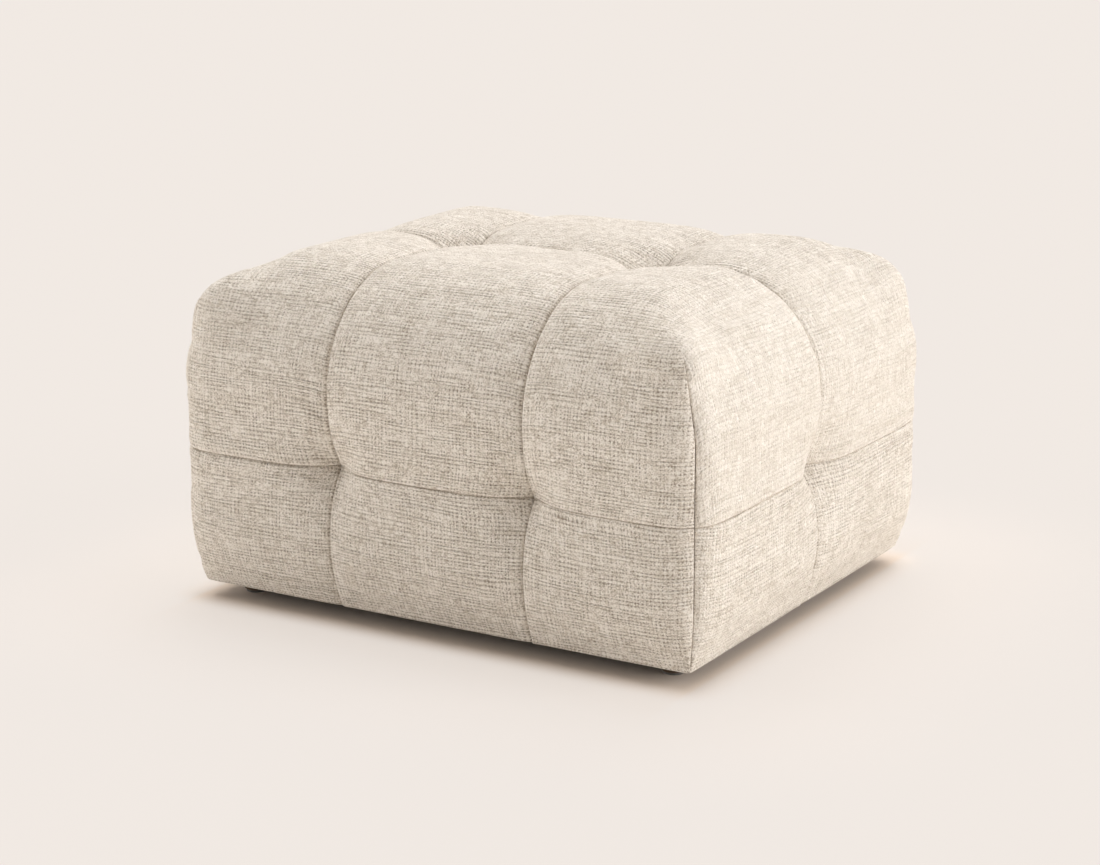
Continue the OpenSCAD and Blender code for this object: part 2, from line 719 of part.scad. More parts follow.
placed(true, false) low_end_panel();  // cover_low_front_right
placed(false, true) low_end_panel();  // cover_low_back_left
placed(true, true) low_middle_panel();  // cover_low_back_middle
placed(true, true) low_end_panel();  // cover_low_back_right
placed(false, false) low_side_panel();  // cover_low_left_front
placed(false, true) low_side_panel();  // cover_low_left_back
placed(true, false) low_side_panel();  // cover_low_right_front
placed(true, true) low_side_panel();  // cover_low_right_back
tuft_twines_side();
tuft_twines_top();
tuft_washers();
dust_cover();
dust_cover_staples();
foot(false, false);  // foot_front_left
foot(true, false);  // foot_front_right
foot(false, true);  // foot_back_left
foot(true, true);  // foot_back_right
foot_glides();
foot_bolts();
foot_inserts();
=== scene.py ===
import contextlib
import math

import bmesh
import bpy
import numpy as np
from bpy.props import FloatProperty, FloatVectorProperty, PointerProperty
from mathutils import Matrix, Vector


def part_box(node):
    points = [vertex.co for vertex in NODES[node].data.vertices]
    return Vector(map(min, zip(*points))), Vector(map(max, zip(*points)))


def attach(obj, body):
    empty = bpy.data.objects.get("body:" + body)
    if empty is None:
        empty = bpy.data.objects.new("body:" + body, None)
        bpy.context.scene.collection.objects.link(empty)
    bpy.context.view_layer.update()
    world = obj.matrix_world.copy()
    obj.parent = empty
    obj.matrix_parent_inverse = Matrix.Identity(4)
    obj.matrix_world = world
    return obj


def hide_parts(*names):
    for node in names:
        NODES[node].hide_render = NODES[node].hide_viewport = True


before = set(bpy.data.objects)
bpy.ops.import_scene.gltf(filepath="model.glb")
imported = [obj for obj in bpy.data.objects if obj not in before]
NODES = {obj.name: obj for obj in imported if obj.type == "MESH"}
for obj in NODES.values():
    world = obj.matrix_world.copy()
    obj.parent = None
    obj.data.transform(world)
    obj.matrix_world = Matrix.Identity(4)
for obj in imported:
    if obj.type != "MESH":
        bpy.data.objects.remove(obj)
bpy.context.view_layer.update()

bl_info = {
    "name": "Tufted pouf",
    "version": (1, 0, 0),
    "blender": (4, 5, 0),
    "location": "View3D > Sidebar > Pouf",
    "description": "Dresses the frame of a tufted pouf in slubbed fabric, foam, webbing and wood",
    "category": "Object",
}


def setting(kind, name, description, default, **limits):
    return kind(name=name, description=description, default=default, **limits)


def length_prop(*about):
    return setting(FloatProperty, *about, unit="LENGTH", precision=4)


def share_prop(*about):
    return setting(FloatProperty, *about, subtype="FACTOR", soft_min=0, soft_max=1)


def colour_prop(*about):
    return setting(FloatVectorProperty, *about, subtype="COLOR", min=0, max=1)


def strength_prop(*about):
    return setting(FloatProperty, *about, min=0)


class PoufShape(bpy.types.PropertyGroup):
    """Sizes of the upholstered shape, as in the part's source"""

    length: length_prop("Length", "Overall length across the bulging ends", 0.761)
    depth: length_prop("Depth", "Overall depth across the bulging front and back", 0.641)
    height: length_prop("Height", "Overall height", 0.446)
    foot_h: length_prop("Foot height", "Height of a foot with its glide", 0.017)
    edge_r: length_prop("Soft edge", "Radius of the soft edge round the top", 0.148)
    seam_x: length_prop("Cross seams", "Distance of the cross seams from the middle", 0.139)
    seam_z: length_prop("Waist seam", "Height of the waist seam", 0.198)
    side_crown: length_prop("Side crown", "Crown of a side cell above its seams", 0.007)
    top_crown: length_prop("Top crown", "Crown of a top cell above its seams", 0.011)
    valley: length_prop("Valley", "Half width of the valley along a seam", 0.027)
    side_tuft: length_prop("Side tufts", "Depth of a tuft in the sides", 0.026)
    top_tuft: length_prop("Top tufts", "Depth of a tuft in the top", 0.043)
    tuft_r: length_prop("Tuft reach", "Reach of a tuft's dimple", 0.034)
    draw_in: length_prop("Draw in", "How far the bottom edge is drawn in", 0.023)
    draw_h: length_prop("Draw height", "Height over which the sides are drawn in", 0.097)
    corner_peak: strength_prop("Corner peak", "How pointed the top corners are", 1.5)
    corner_fade: strength_prop("Corner fade", "How far the crowns fade towards the top corners", 1.3)
    corner_in: length_prop("Corner in", "How far the top corners are drawn in lengthwise", 0.005)
    corner_out: length_prop("Corner out", "How far the top corners stand out to front and back", 0.008)
    hem: length_prop("Hem", "Width of the hem under the frame", 0.030)


class PoufSewing(bpy.types.PropertyGroup):
    """How the cover is sewn and how finely it is drawn"""

    grid: length_prop("Grid", "Spacing of the mesh over a panel", 0.0046)
    roll: length_prop("Seam roll", "Radius with which a panel rolls into a seam", 0.0035)
    waist_roll: length_prop("Waist roll", "Radius with which a panel rolls into the waist seam", 0.0030)
    dip: length_prop("Seam dip", "How far one panel dips down to a long seam", 0.0016)
    rise: length_prop("Seam rise", "How far its neighbour stands up over the seam allowance", 0.0013)
    edge_run: length_prop("Edge run", "How far from a long seam a panel dips or rises", 0.006)
    dart_roll: length_prop("Dart roll", "Radius with which a panel rolls into a corner seam", 0.0024)
    dart_fold: length_prop("Dart fold", "Depth of the small fold that runs down from a corner's peak", 0.0018)
    seam_wall: length_prop("Seam depth", "Depth of a seam below its roll", 0.005)
    pleat: length_prop("Pleats", "Height of the small pleats round a tuft", 0.0009)
    pinch: length_prop("Pinch", "How much deeper the waist seam is drawn in beside a tuft", 0.0020)
    swell_cap: length_prop("Swelling", "Furthest that the padding may push a point of the cover", 0.0011)
    sink_cap: length_prop("Sinking", "Furthest that a wrinkle may sink into the cover", 0.0006)
    spare: share_prop("Spare cloth", "Share by which a panel is cut larger than its cell", 0.014)


class PoufFabric(bpy.types.PropertyGroup):
    """Colours and threads of the cover"""

    thread: length_prop("Thread", "Distance between threads", 0.0047)
    yarn: colour_prop("Yarn", "Colour of the yarn", (0.93, 0.866, 0.787))
    slub: colour_prop("Slubs", "Colour of the pale stretches of yarn", (1.0, 0.932, 0.850))
    # deep is painted shade: the dark colour mixed into the seams' grooves and round the tufts
    deep: colour_prop("Seams", "Colour deep in a seam", (0.13, 0.095, 0.065))
    gap: colour_prop("Gaps", "Colour between the threads", (0.29, 0.222, 0.155))


class PoufStage(bpy.types.PropertyGroup):
    """Floor and light"""

    floor: colour_prop("Floor", "Colour of the floor and background", (0.863, 0.807, 0.761))
    sky: strength_prop("Sky", "Strength of the even light", 0.06)
    key: strength_prop("Key light", "Strength of the light from the right", 2.20)
    fill: strength_prop("Fill light", "Strength of the light that grazes the front from the left", 0.85)
    front: strength_prop("Front light", "Strength of the soft light from the left and front", 0.86)
    over: strength_prop("Overhead light", "Strength of the light from above and behind", 2.33)
    back: strength_prop("Back light", "Strength of the light from behind", 1.15)


# The upholstered surface. PLANES gives each face's two axes and the axis out of it. CORNER_UNIT brings the
# product of a direction's three parts to 1 in the middle of a corner
PLANES = {"long": (0, 2, 1), "short": (1, 2, 0), "top": (0, 1, 2)}
PLAN_POWER = 8
CORNER_UNIT = 5.196
VALLEY_POWER = 1.15
TUFT_POWER = 1.35
DART_POWER = 1.2
DART_W = 0.026
DART_DROP = 0.043
DART_FADE = 0.060
WAIST_W = 0.014
WAIST_DEPTH = 0.25
BOTTOM_TURN = 0.006
DUST_T = 0.001


def bell(s, width, power):
    return np.exp(-((np.abs(s) / width) ** power))


def eased(t):
    return t * t * (3 - 2 * t)


class Upholstery:
    """The upholstered surface: a soft-edged box with crowned cells, seam valleys, corner darts and tufts.
    A point of it is named by a point of the plain box round it."""

    def __init__(self, sizes):
        self.s = sizes
        self.face = np.array([
            sizes.length / 2 - sizes.side_crown,
            sizes.depth / 2 - sizes.side_crown,
            sizes.height - sizes.top_crown,
        ])
        self.core = self.face - sizes.edge_r
        self.base = self.face[:2] - sizes.draw_in
        self.cover_z = sizes.foot_h + DUST_T
        self.low_z = self.cover_z + BOTTOM_TURN

    def on_box(self, plane, u, v):
        a, b, c = PLANES[plane]
        q = np.empty(np.shape(u) + (3,))
        q[..., a] = np.clip(u, -self.face[a], self.face[a])
        q[..., b] = np.clip(v, -self.face[b], self.face[b])
        q[..., c] = self.face[c]
        return q

    def at(self, q, inset=0.0):
        s, face = self.s, self.face
        core = np.stack([
            np.clip(q[..., 0], -self.core[0], self.core[0]),
            np.clip(q[..., 1], -self.core[1], self.core[1]),
            np.minimum(q[..., 2], self.core[2]),
        ], -1)
        d = (q - core) / s.edge_r
        ax, ay, az = np.abs(d[..., 0]), np.abs(d[..., 1]), d[..., 2]
        plan = np.maximum(ax ** PLAN_POWER + ay ** PLAN_POWER, 1e-30)
        square = CORNER_UNIT * ax * ay * az / np.maximum(np.linalg.norm(d, axis=-1), 1e-9) ** 3
        k = 2 + s.corner_peak * square ** 4
        n = (plan ** (k / PLAN_POWER) + az ** k) ** (1 / k)
        slope = plan ** (k / PLAN_POWER - 1)
        g = np.stack([
            np.sign(d[..., 0]) * ax ** (PLAN_POWER - 1) * slope,
            np.sign(d[..., 1]) * ay ** (PLAN_POWER - 1) * slope,
            az ** (k - 1),
        ], -1)
        out = g / np.linalg.norm(g, axis=-1, keepdims=True)
        x, y, z = np.abs(q[..., 0]), np.abs(q[..., 1]), q[..., 2]
        on_x, on_y, on_top = x > face[0] - 1e-6, y > face[1] - 1e-6, z > face[2] - 1e-6
        side = on_x | on_y
        gx = np.where(on_y | on_top, bell(x - s.seam_x, s.valley, VALLEY_POWER), 0)
        gy = np.where(on_x | on_top, bell(y, s.valley, VALLEY_POWER), 0)
        gz = np.where(side, WAIST_DEPTH * bell(z - s.seam_z, WAIST_W, 1), 0)
        rise = eased(np.clip((face[2] - DART_DROP - z) / DART_FADE, 0, 1))
        from_corner = np.where(on_y, face[0] - x, face[1] - y)
        gd = np.where(side, bell(from_corner, DART_W, DART_POWER) * rise, 0)
        cell = (1 - gx) * (1 - gy) * (1 - gz) * (1 - gd) * (1 - s.corner_fade * square ** 2)
        crown = (s.side_crown + (s.top_crown - s.side_crown) * out[..., 2] ** 2) * cell
        off, up = x - s.seam_x, z - s.seam_z
        tufts = sum(
            np.where(on, depth * bell(np.hypot(a, b), s.tuft_r, TUFT_POWER), 0)
            for on, depth, a, b in (
                (on_y, s.side_tuft, off, up), (on_x, s.side_tuft, y, up), (on_top, s.top_tuft, off, y)))
        p = core + d * s.edge_r / n[..., None] + out * (crown - tufts - inset)[..., None]
        p[..., 0] -= np.sign(q[..., 0]) * s.corner_in * square ** 2
        p[..., 1] += np.sign(q[..., 1]) * s.corner_out * square ** 2
        pull = np.where(side, np.clip(1 - (z - self.cover_z) / s.draw_h, 0, 1) ** 2, 0)
        for axis in (0, 1):
            limit = self.base[axis] - inset
            p[..., axis] += (np.clip(p[..., axis], -limit, limit) - p[..., axis]) * pull
        return p

    def patch(self, plane, us, vs, inset=0.0):
        u, v = np.meshgrid(us, vs, indexing="ij")
        return self.at(self.on_box(plane, u, v), inset)

    def normals(self, plane, us, vs):
        apart = 0.0006
        along_u = self.patch(plane, us + apart, vs) - self.patch(plane, us - apart, vs)
        along_v = self.patch(plane, us, vs + apart) - self.patch(plane, us, vs - apart)
        n = np.cross(along_u, along_v)
        n /= np.linalg.norm(n, axis=-1, keepdims=True)
        c = PLANES[plane][2]
        return n * np.where(n[..., c:c + 1] < 0, -1, 1)


# Grid lines of a panel: shares of a step beside a sewn border, turns of its roll, and its wall's middle row
FINE_STEPS = (0.3, 0.34, 0.38, 0.44, 0.52, 0.62, 0.75, 0.9)
ROLL_TURNS = (90, 66, 44, 22, 0)
WALL_ROW = 0.3


def spread(lo, hi, step, fine_lo=False, fine_hi=False):
    """Places from lo to hi, about a step apart, and closer together near a sewn border."""
    near = np.cumsum([step * f for f in FINE_STEPS])
    left = lo + near if fine_lo else np.array([lo])
    right = hi - near[::-1] if fine_hi else np.array([hi])
    count = max(1, round((right[0] - left[-1]) / step))
    middle = np.linspace(left[-1], right[0], count + 1)
    first, last = [lo] if fine_lo else [], [hi] if fine_hi else []
    return np.concatenate([first, left[:-1], middle, right[1:], last])


def grid_lines(lo, hi, low_edge, high_edge, step):
    """Places of the lines between two borders and the depth of each. A border with an edge, which is its
    radius, wall and spacing, rolls over and goes down into the seam."""
    def border(edge):
        if edge is None:
            return [(0.0, 0.0)]
        r, wall, squeeze = edge
        turns = [math.radians(t) for t in ROLL_TURNS]
        rolled = [(r * (1 - math.sin(t)) * squeeze, r * (1 - math.cos(t))) for t in turns]
        return [(0.0, r + wall), (0.0, r + WALL_ROW * wall)] + rolled
    low, high = border(low_edge), border(high_edge)
    inner = spread(lo + low[-1][0], hi - high[-1][0], step, low_edge is not None, high_edge is not None)
    places = [lo + a for a, _ in low[:-1]] + list(inner) + [hi - a for a, _ in high[-2::-1]]
    depths = [d for _, d in low[:-1]] + [0.0] * len(inner) + [d for _, d in high[-2::-1]]
    return np.array(places), np.array(depths)


def running(points, axis):
    """Distance along a grid's lines from their start."""
    step = np.linalg.norm(np.diff(points, axis=axis), axis=-1)
    zero = np.zeros_like(np.take(step, [0], axis=axis))
    return np.concatenate([zero, np.cumsum(step, axis=axis)], axis=axis)


# Painted shade in the seams: the depth from which they darken and over which, how dark the waist seam is
# painted, and the heights between which the painted shade pales, where more light reaches the seams, down to
# a share
SEAM_LIT = 0.0016
SEAM_FADE = 0.0030
WAIST_SHADE = 0.35
SEAM_PALES = (0.28, 0.40)
SEAM_PALE = 0.35
# Corner seams by height: share of their painted shade and share of their depth
CORNER_PALES = (0.05, 0.20, 0.30)
CORNER_SHADES = (0.08, 0.25, 0.6)
CORNER_FLAT = (0.03, 0.14, 0.25)
CORNER_DEPTHS = (0.4, 0.7, 1.0)


class Patch:
    """One grid of a panel, on one face of the plain box, drawn for the right and the back."""

    def __init__(self, shape, plane, u_lines, v_lines):
        self.plane = plane
        (self.us, du), (self.vs, dv) = u_lines, v_lines
        self.depth = np.minimum(np.hypot(du[:, None], dv[None, :]), max(du.max(), dv.max(), 1e-9))
        self.points = shape.patch(plane, self.us, self.vs)
        # Painted shade: seam is how dark each point is painted from its depth in a seam, lighter on the waist
        # seam, paler low on the corner seams and paler higher up
        along_u, along_v = (np.clip((d - SEAM_LIT) / SEAM_FADE, 0, 1) for d in (du, dv))
        along_u = np.repeat(along_u[:, None], len(dv), 1)
        along_v = along_v * (1 if plane == "top" else WAIST_SHADE)
        if plane != "top" and self.us[0] >= 0:
            corner = self.us > self.us.mean()
            along_u[corner] *= np.interp(self.vs, CORNER_PALES, CORNER_SHADES)
            self.depth[corner] *= np.interp(self.vs, CORNER_FLAT, CORNER_DEPTHS)
        self.seam = np.maximum(along_u, along_v[None, :])
        self.seam *= np.interp(self.points[..., 2], SEAM_PALES, (1.0, SEAM_PALE))
        self.normals = shape.normals(plane, self.us, self.vs)
        self.uv = np.stack([running(self.points, 0), running(self.points, 1)], -1)
        self.turn = np.zeros(self.points.shape[:2])


def sheet_faces(nu, nv, first=0):
    i, j = np.meshgrid(np.arange(nu - 1), np.arange(nv - 1), indexing="ij")
    a = first + i * nv + j
    return np.stack([a, a + nv, a + nv + 1, a + 1], -1).reshape(-1, 4)


# How far the threads turn in the low side panels, and the lean of the cloth over which they turn in the
# corner panels
LOW_TURN = 0.4
LEAN_FROM = 0.25
LEAN_RUN = 0.4
# Width of a corner seam's edge, and how it fades out below the corner's peak
DART_EDGE = 0.0065
PEAK_GAP = 0.008
PEAK_RUN = 0.022


def panel_places():
    """The kind of every panel, and whether it stands to the left or right and the front or back."""
    places = {}
    for level, end in (("top", "corner"), ("low", "end")):
        for row, back in (("front", -1), ("back", 1)):
            for column, kind, right in (("left", end, -1), ("middle", "middle", 1), ("right", end, 1)):
                places[f"cover_{level}_{row}_{column}"] = (f"{level}_{kind}", right, back)
    for column, right in (("left", -1), ("right", 1)):
        for row, back in (("front", -1), ("back", 1)):
            places[f"cover_low_{column}_{row}"] = ("low_side", right, back)
    return places


class Cover:
    """All the panels of the cover, each a list of patches, and where each is placed"""

    PLACES = panel_places()

    def __init__(self, shape, sewing, step, rolled=True):
        self.shape, s = shape, shape.s
        edges = ((sewing.roll, 1.0), (sewing.waist_roll, 1.0), (sewing.dart_roll, 1.5))
        seam, waist, corner = ((roll, sewing.seam_wall, k) if rolled else None for roll, k in edges)
        fx, fy, fz = shape.face
        low = grid_lines(shape.low_z, s.seam_z, None, waist, step)
        up = grid_lines(s.seam_z, fz, waist, None, step)
        x_end = grid_lines(s.seam_x, fx, seam, corner, step)
        x_mid = grid_lines(-s.seam_x, s.seam_x, seam, seam, step)
        y_end = grid_lines(0, fy, seam, corner, step)
        open_x = self.uncut(x_end, corner)
        open_y = self.uncut(y_end, corner)
        self.panels = {
            "low_end": [Patch(shape, "long", x_end, low)],
            "low_middle": [Patch(shape, "long", x_mid, low)],
            "low_side": [Patch(shape, "short", y_end, low)],
            "top_middle": [Patch(shape, "long", x_mid, up), Patch(shape, "top", x_mid, open_y)],
            "top_corner": [
                Patch(shape, "long", x_end, up), Patch(shape, "short", y_end, up),
                Patch(shape, "top", open_x, open_y),
            ],
        }
        self.lay_threads()
        if rolled:
            self.open_darts()

    @staticmethod
    def uncut(lines, edge):
        """The same lines without the corner's seam wall, for the top face."""
        places, depths = lines
        if edge is None:
            return lines
        last = len(places) - 2
        depths = depths.copy()
        depths[places > places[last] - edge[0] * edge[2] - 1e-9] = 0
        return places[:last], depths[:last]

    def lay_threads(self):
        wall, lid = self.panels["top_middle"]
        top = lid.uv[:, -1:, 1]
        lid.uv[..., 1] = wall.uv[:, -1:, 1] + top - lid.uv[..., 1]
        self.panels["low_side"][0].turn[:] = LOW_TURN
        front, side, lid = self.panels["top_corner"]
        lid.uv[..., 1] = front.uv[:len(lid.us), -1:, 1] + lid.uv[:, -1:, 1] - lid.uv[..., 1]
        down = side.uv[:, -1:, 1] - side.uv[..., 1]
        across = side.uv[..., 0]
        edge_u = np.concatenate([lid.uv[-1, :, 0], np.repeat(lid.uv[-1, -1, 0], len(side.us) - len(lid.vs))])
        side.uv = np.stack([edge_u[:, None] + down, lid.uv[-1, 0, 1] - across], -1)
        for patch in (side, lid):
            patch.turn = eased(np.clip((patch.normals[..., 0] - LEAN_FROM) / LEAN_RUN, 0, 1))

    def open_darts(self):
        """The corner seam of the top fades out at the peak of the corner."""
        for patch in self.panels["top_corner"][:2]:
            edge = patch.us > patch.us[-1] - DART_EDGE
            keep = np.clip((self.shape.face[2] - PEAK_GAP - patch.vs) / PEAK_RUN, 0, 1)
            patch.depth[edge] *= keep[None, :]
            patch.seam[edge] *= keep[None, :]


def plain_mesh(name, points, faces):
    mesh = bpy.data.meshes.new(name)
    mesh.from_pydata(points, [], faces)
    return mesh


def place_object(name, data):
    made = bpy.data.objects.new(name, data)
    bpy.context.scene.collection.objects.link(made)
    return made


@contextlib.contextmanager
def edited(mesh):
    bm = bmesh.new()
    bm.from_mesh(mesh)
    yield bm
    bm.to_mesh(mesh)
    bm.free()


def evaluated_mesh(source):
    """The mesh of an object with its modifiers, in place of the object."""
    done = source.evaluated_get(bpy.context.evaluated_depsgraph_get())
    mesh = bpy.data.meshes.new_from_object(done)
    bpy.data.objects.remove(source)
    mesh.shade_smooth()
    return mesh


def upsample(values, places, wanted):
    """Values known at even places along the first axis, drawn through smoothly at the wanted places."""
    t = np.clip((wanted - places[0]) / (places[-1] - places[0]), 0, 1) * (len(places) - 1)
    i = np.minimum(t.astype(int), len(places) - 2)
    f = (t - i)[:, None, None]
    last = len(places) - 1
    a, b, c, d = (values[np.clip(i + k, 0, last)] for k in (-1, 0, 1, 2))
    return b + 0.5 * f * (c - a + f * (2 * a - 5 * b + 4 * c - d + f * (3 * (b - c) + d - a)))


# The cloth simulation: its grid, how far it starts inside the surface, its frames, how much of the slow part
# of its movement is taken out again and over how many rounds, and its settings
CLOTH_GRID = 0.0125
CLOTH_INSET = 0.002
CLOTH_FRAMES = 20
SLOW_SHARE = 0.75
SLOW_ROUNDS = 40
CLOTH = {
    "quality": 6, "mass": 0.25, "tension_stiffness": 20, "compression_stiffness": 20, "shear_stiffness": 6,
    "bending_stiffness": 0.15, "vertex_group_mass": "held", "use_pressure": True, "uniform_pressure_force": 4,
}


class Swelling:
    """Cloth simulation of the whole cover at once: it is held at its seams, tufts and hem, pushed out by the
    padding and cut a little larger than its cells, so that it fills out and wrinkles between them."""

    def __init__(self, shape, sewing):
        self.fields = {}
        coarse = Cover(shape, sewing, CLOTH_GRID, rolled=False)
        points, held, faces, rows = [], [], [], {}
        count = 0
        for name, (kind, right, back) in Cover.PLACES.items():
            for k, patch in enumerate(coarse.panels[kind]):
                us = np.linspace(patch.us[0], patch.us[-1], len(patch.us))
                vs = np.linspace(patch.vs[0], patch.vs[-1], len(patch.vs))
                p = shape.patch(patch.plane, us, vs, CLOTH_INSET) * [right, back, 1]
                nu, nv = p.shape[:2]
                rows[name, k] = (count, nu, nv, us, vs)
                pin = np.zeros((nu, nv), bool)
                pin[0] = True
                pin[:, 0] = True
                if kind.endswith("middle"):
                    pin[-1] = True
                elif patch.plane != "top":
                    pin[-1] = vs < shape.face[2] - DART_DROP
                if kind.startswith("low"):
                    pin[:, -1] = True
                points.append(p.reshape(-1, 3))
                held.append(pin.reshape(-1))
                faces.append(sheet_faces(nu, nv, count))
                count += nu * nv
        points, held, faces = np.concatenate(points), np.concatenate(held), np.concatenate(faces)
        _, first, inverse = np.unique(np.round(points, 5), axis=0, return_index=True, return_inverse=True)
        inverse = inverse.reshape(-1)
        pinned = np.zeros(len(first), bool)
        np.logical_or.at(pinned, inverse, held)
        start = points[first]
        welded = inverse[faces]
        moved = self.simulate(start, welded, pinned, sewing) - start
        moved = moved - SLOW_SHARE * self.broad(moved, welded)
        moved[pinned] = 0
        self.limits = (-sewing.sink_cap, sewing.swell_cap)
        for key, (at, nu, nv, us, vs) in rows.items():
            grid = moved[inverse[at:at + nu * nv]].reshape(nu, nv, 3)
            self.fields[key] = (grid, us, vs)

    @staticmethod
    def broad(field, faces):
        """The slow part of a field over a mesh."""
        a, b = faces.T.reshape(-1), np.roll(faces, -1, axis=1).T.reshape(-1)
        links = np.bincount(a, minlength=len(field)) + np.bincount(b, minlength=len(field))
        for _ in range(SLOW_ROUNDS):
            total = np.zeros_like(field)
            np.add.at(total, a, field[b])
            np.add.at(total, b, field[a])
            field = 0.5 * field + 0.5 * total / np.maximum(links, 1)[:, None]
        return field

    @staticmethod
    def simulate(points, faces, pinned, sewing):
        mesh = plain_mesh("swelling", points.tolist(), faces.tolist())
        cloth = place_object("swelling", mesh)
        group = cloth.vertex_groups.new(name="held")
        group.add(np.nonzero(pinned)[0].tolist(), 1.0, "REPLACE")
        modifier = cloth.modifiers.new("Cloth", "CLOTH")
        for key, value in CLOTH.items():
            setattr(modifier.settings, key, value)
        modifier.settings.shrink_min = -sewing.spare
        modifier.settings.effector_weights.gravity = 0
        modifier.collision_settings.use_collision = False
        scene = bpy.context.scene
        for f in range(CLOTH_FRAMES):
            scene.frame_set(f + 1)
        done = cloth.evaluated_get(bpy.context.evaluated_depsgraph_get())
        co = np.empty(len(points) * 3)
        done.data.vertices.foreach_get("co", co)
        scene.frame_set(1)
        bpy.data.objects.remove(cloth)
        bpy.data.meshes.remove(mesh)
        return co.reshape(-1, 3)

    def at(self, name, k, patch, normals):
        """How far the cloth stands out from the drawn surface at the points of a patch."""
        grid, us, vs = self.fields[name, k]
        fine = upsample(grid, us, patch.us)
        fine = upsample(fine.transpose(1, 0, 2), vs, patch.vs).transpose(1, 0, 2)
        lift = np.einsum("ijk,ijk->ij", fine, normals)
        low, high = self.limits
        return np.where(lift < 0, low * np.tanh(lift / low), high * np.tanh(lift / high))


# Pleats round a tuft: how many waves make them, where they are highest and how far out they end. The pinch of
# the waist seam beside a tuft: its reach along the seam and across it. The painted shade round a tuft: its
# strength and its reach
PLEAT_WAVES = (7, 11, 16)
PLEAT_PEAK = 0.022
PLEAT_END = 0.12
PINCH_ALONG = 0.022
PINCH_ACROSS = 0.007
TUFT_SHADE = 0.45
TUFT_SHADE_REACH = 0.010


def pleats(shape, sewing, points):
    """Small pleats that run out from each tuft. They differ from tuft to tuft."""
    s = shape.s
    lift = np.zeros(points.shape[:-1])
    fx, fy, fz = shape.face
    tufts = [((sx * s.seam_x, sy * fy, s.seam_z), (0, 2)) for sx in (-1, 1) for sy in (-1, 1)]
    tufts += [((sx * fx, 0, s.seam_z), (1, 2)) for sx in (-1, 1)]
    tufts += [((sx * s.seam_x, 0, fz), (0, 1)) for sx in (-1, 1)]
    for number, (centre, axes) in enumerate(tufts):
        draw = np.random.RandomState(20 + number)
        a, b = (points[..., k] - centre[k] for k in axes)
        far = np.linalg.norm(points - centre, axis=-1)
        round_it = np.arctan2(b, a)
        wave = sum(
            draw.uniform(0.5, 1) * np.cos(m * round_it + draw.uniform(0, 2 * math.pi)) for m in PLEAT_WAVES)
        reach = (far / PLEAT_PEAK) * np.exp(1 - far / PLEAT_PEAK)
        lift += np.where(far < PLEAT_END, sewing.pleat * 0.5 * wave * reach, 0)
    return lift


def pinches(shape, sewing, patch):
    """The waist seam is drawn in deeper beside each tuft in the sides."""
    if patch.plane == "top":
        return 0.0
    tuft = 0 if patch.plane == "short" else shape.s.seam_x
    along = bell(np.abs(patch.us) - tuft, PINCH_ALONG, 1)
    across = bell(patch.vs - shape.s.seam_z, PINCH_ACROSS, 1)
    return -sewing.pinch * along[:, None] * across[None, :]


def tuft_shade(shape, patch):
    """Painted shade: the cloth is painted darker round each tuft, where its dimple lies in shade."""
    s = shape.s
    tuft = {"long": (s.seam_x, s.seam_z), "short": (0, s.seam_z), "top": (s.seam_x, 0)}[patch.plane]
    far = np.hypot((np.abs(patch.us) - tuft[0])[:, None], (patch.vs - tuft[1])[None, :])
    return TUFT_SHADE * bell(far, TUFT_SHADE_REACH, 2)


def seam_edges(sewing, patch, middle, right, back):
    """Beside a long seam the panel to the right or the front stands up over the seam allowance, and its
    neighbour dips down to it."""
    def edge(raised):
        return sewing.rise if raised else -sewing.dip
    near = np.exp(-(patch.us - patch.us[0]) / sewing.edge_run)
    if middle:
        lift_u = edge(True) * near + edge(False) * near[::-1]
    else:
        lift_u = edge(back < 0 if patch.plane == "short" else right > 0) * near
    near_v = np.exp(-patch.vs / sewing.edge_run) if patch.plane == "top" else np.zeros(len(patch.vs))
    return lift_u[:, None] + (edge(back < 0) * near_v)[None, :]


# The small fold below a corner's peak: where it starts, how long it runs, how far it leaves the seam, how it
# begins and ends, and the widths of its groove and of the ridge beside it
FOLD_TOP = 0.012
FOLD_RUN = 0.046
FOLD_AWAY = 0.013
FOLD_START = 0.006
FOLD_END = 1.3 * FOLD_RUN
FOLD_FADE = 0.6 * FOLD_RUN
GROOVE_W = 0.0019
RIDGE_OFF = 0.0042
RIDGE_W = 0.0030
RIDGE_SHARE = 0.7


def dart_folds(shape, sewing, patch):
    """A small fold on a short side that leaves the corner's seam at its peak and fades out lower down."""
    drop = shape.face[2] - patch.vs[None, :]
    off = shape.face[1] - patch.us[:, None]
    path = FOLD_AWAY * np.sin(np.clip((drop - FOLD_TOP) / FOLD_RUN, 0, 1) * math.pi / 2)
    fade = np.clip((drop - FOLD_TOP) / FOLD_START, 0, 1)
    fade = fade * np.clip((FOLD_TOP + FOLD_END - drop) / FOLD_FADE, 0, 1)
    groove = bell(off - path, GROOVE_W, 2)
    ridge = bell(off - path + RIDGE_OFF, RIDGE_W, 2)
    return sewing.dart_fold * fade * (RIDGE_SHARE * ridge - groove)


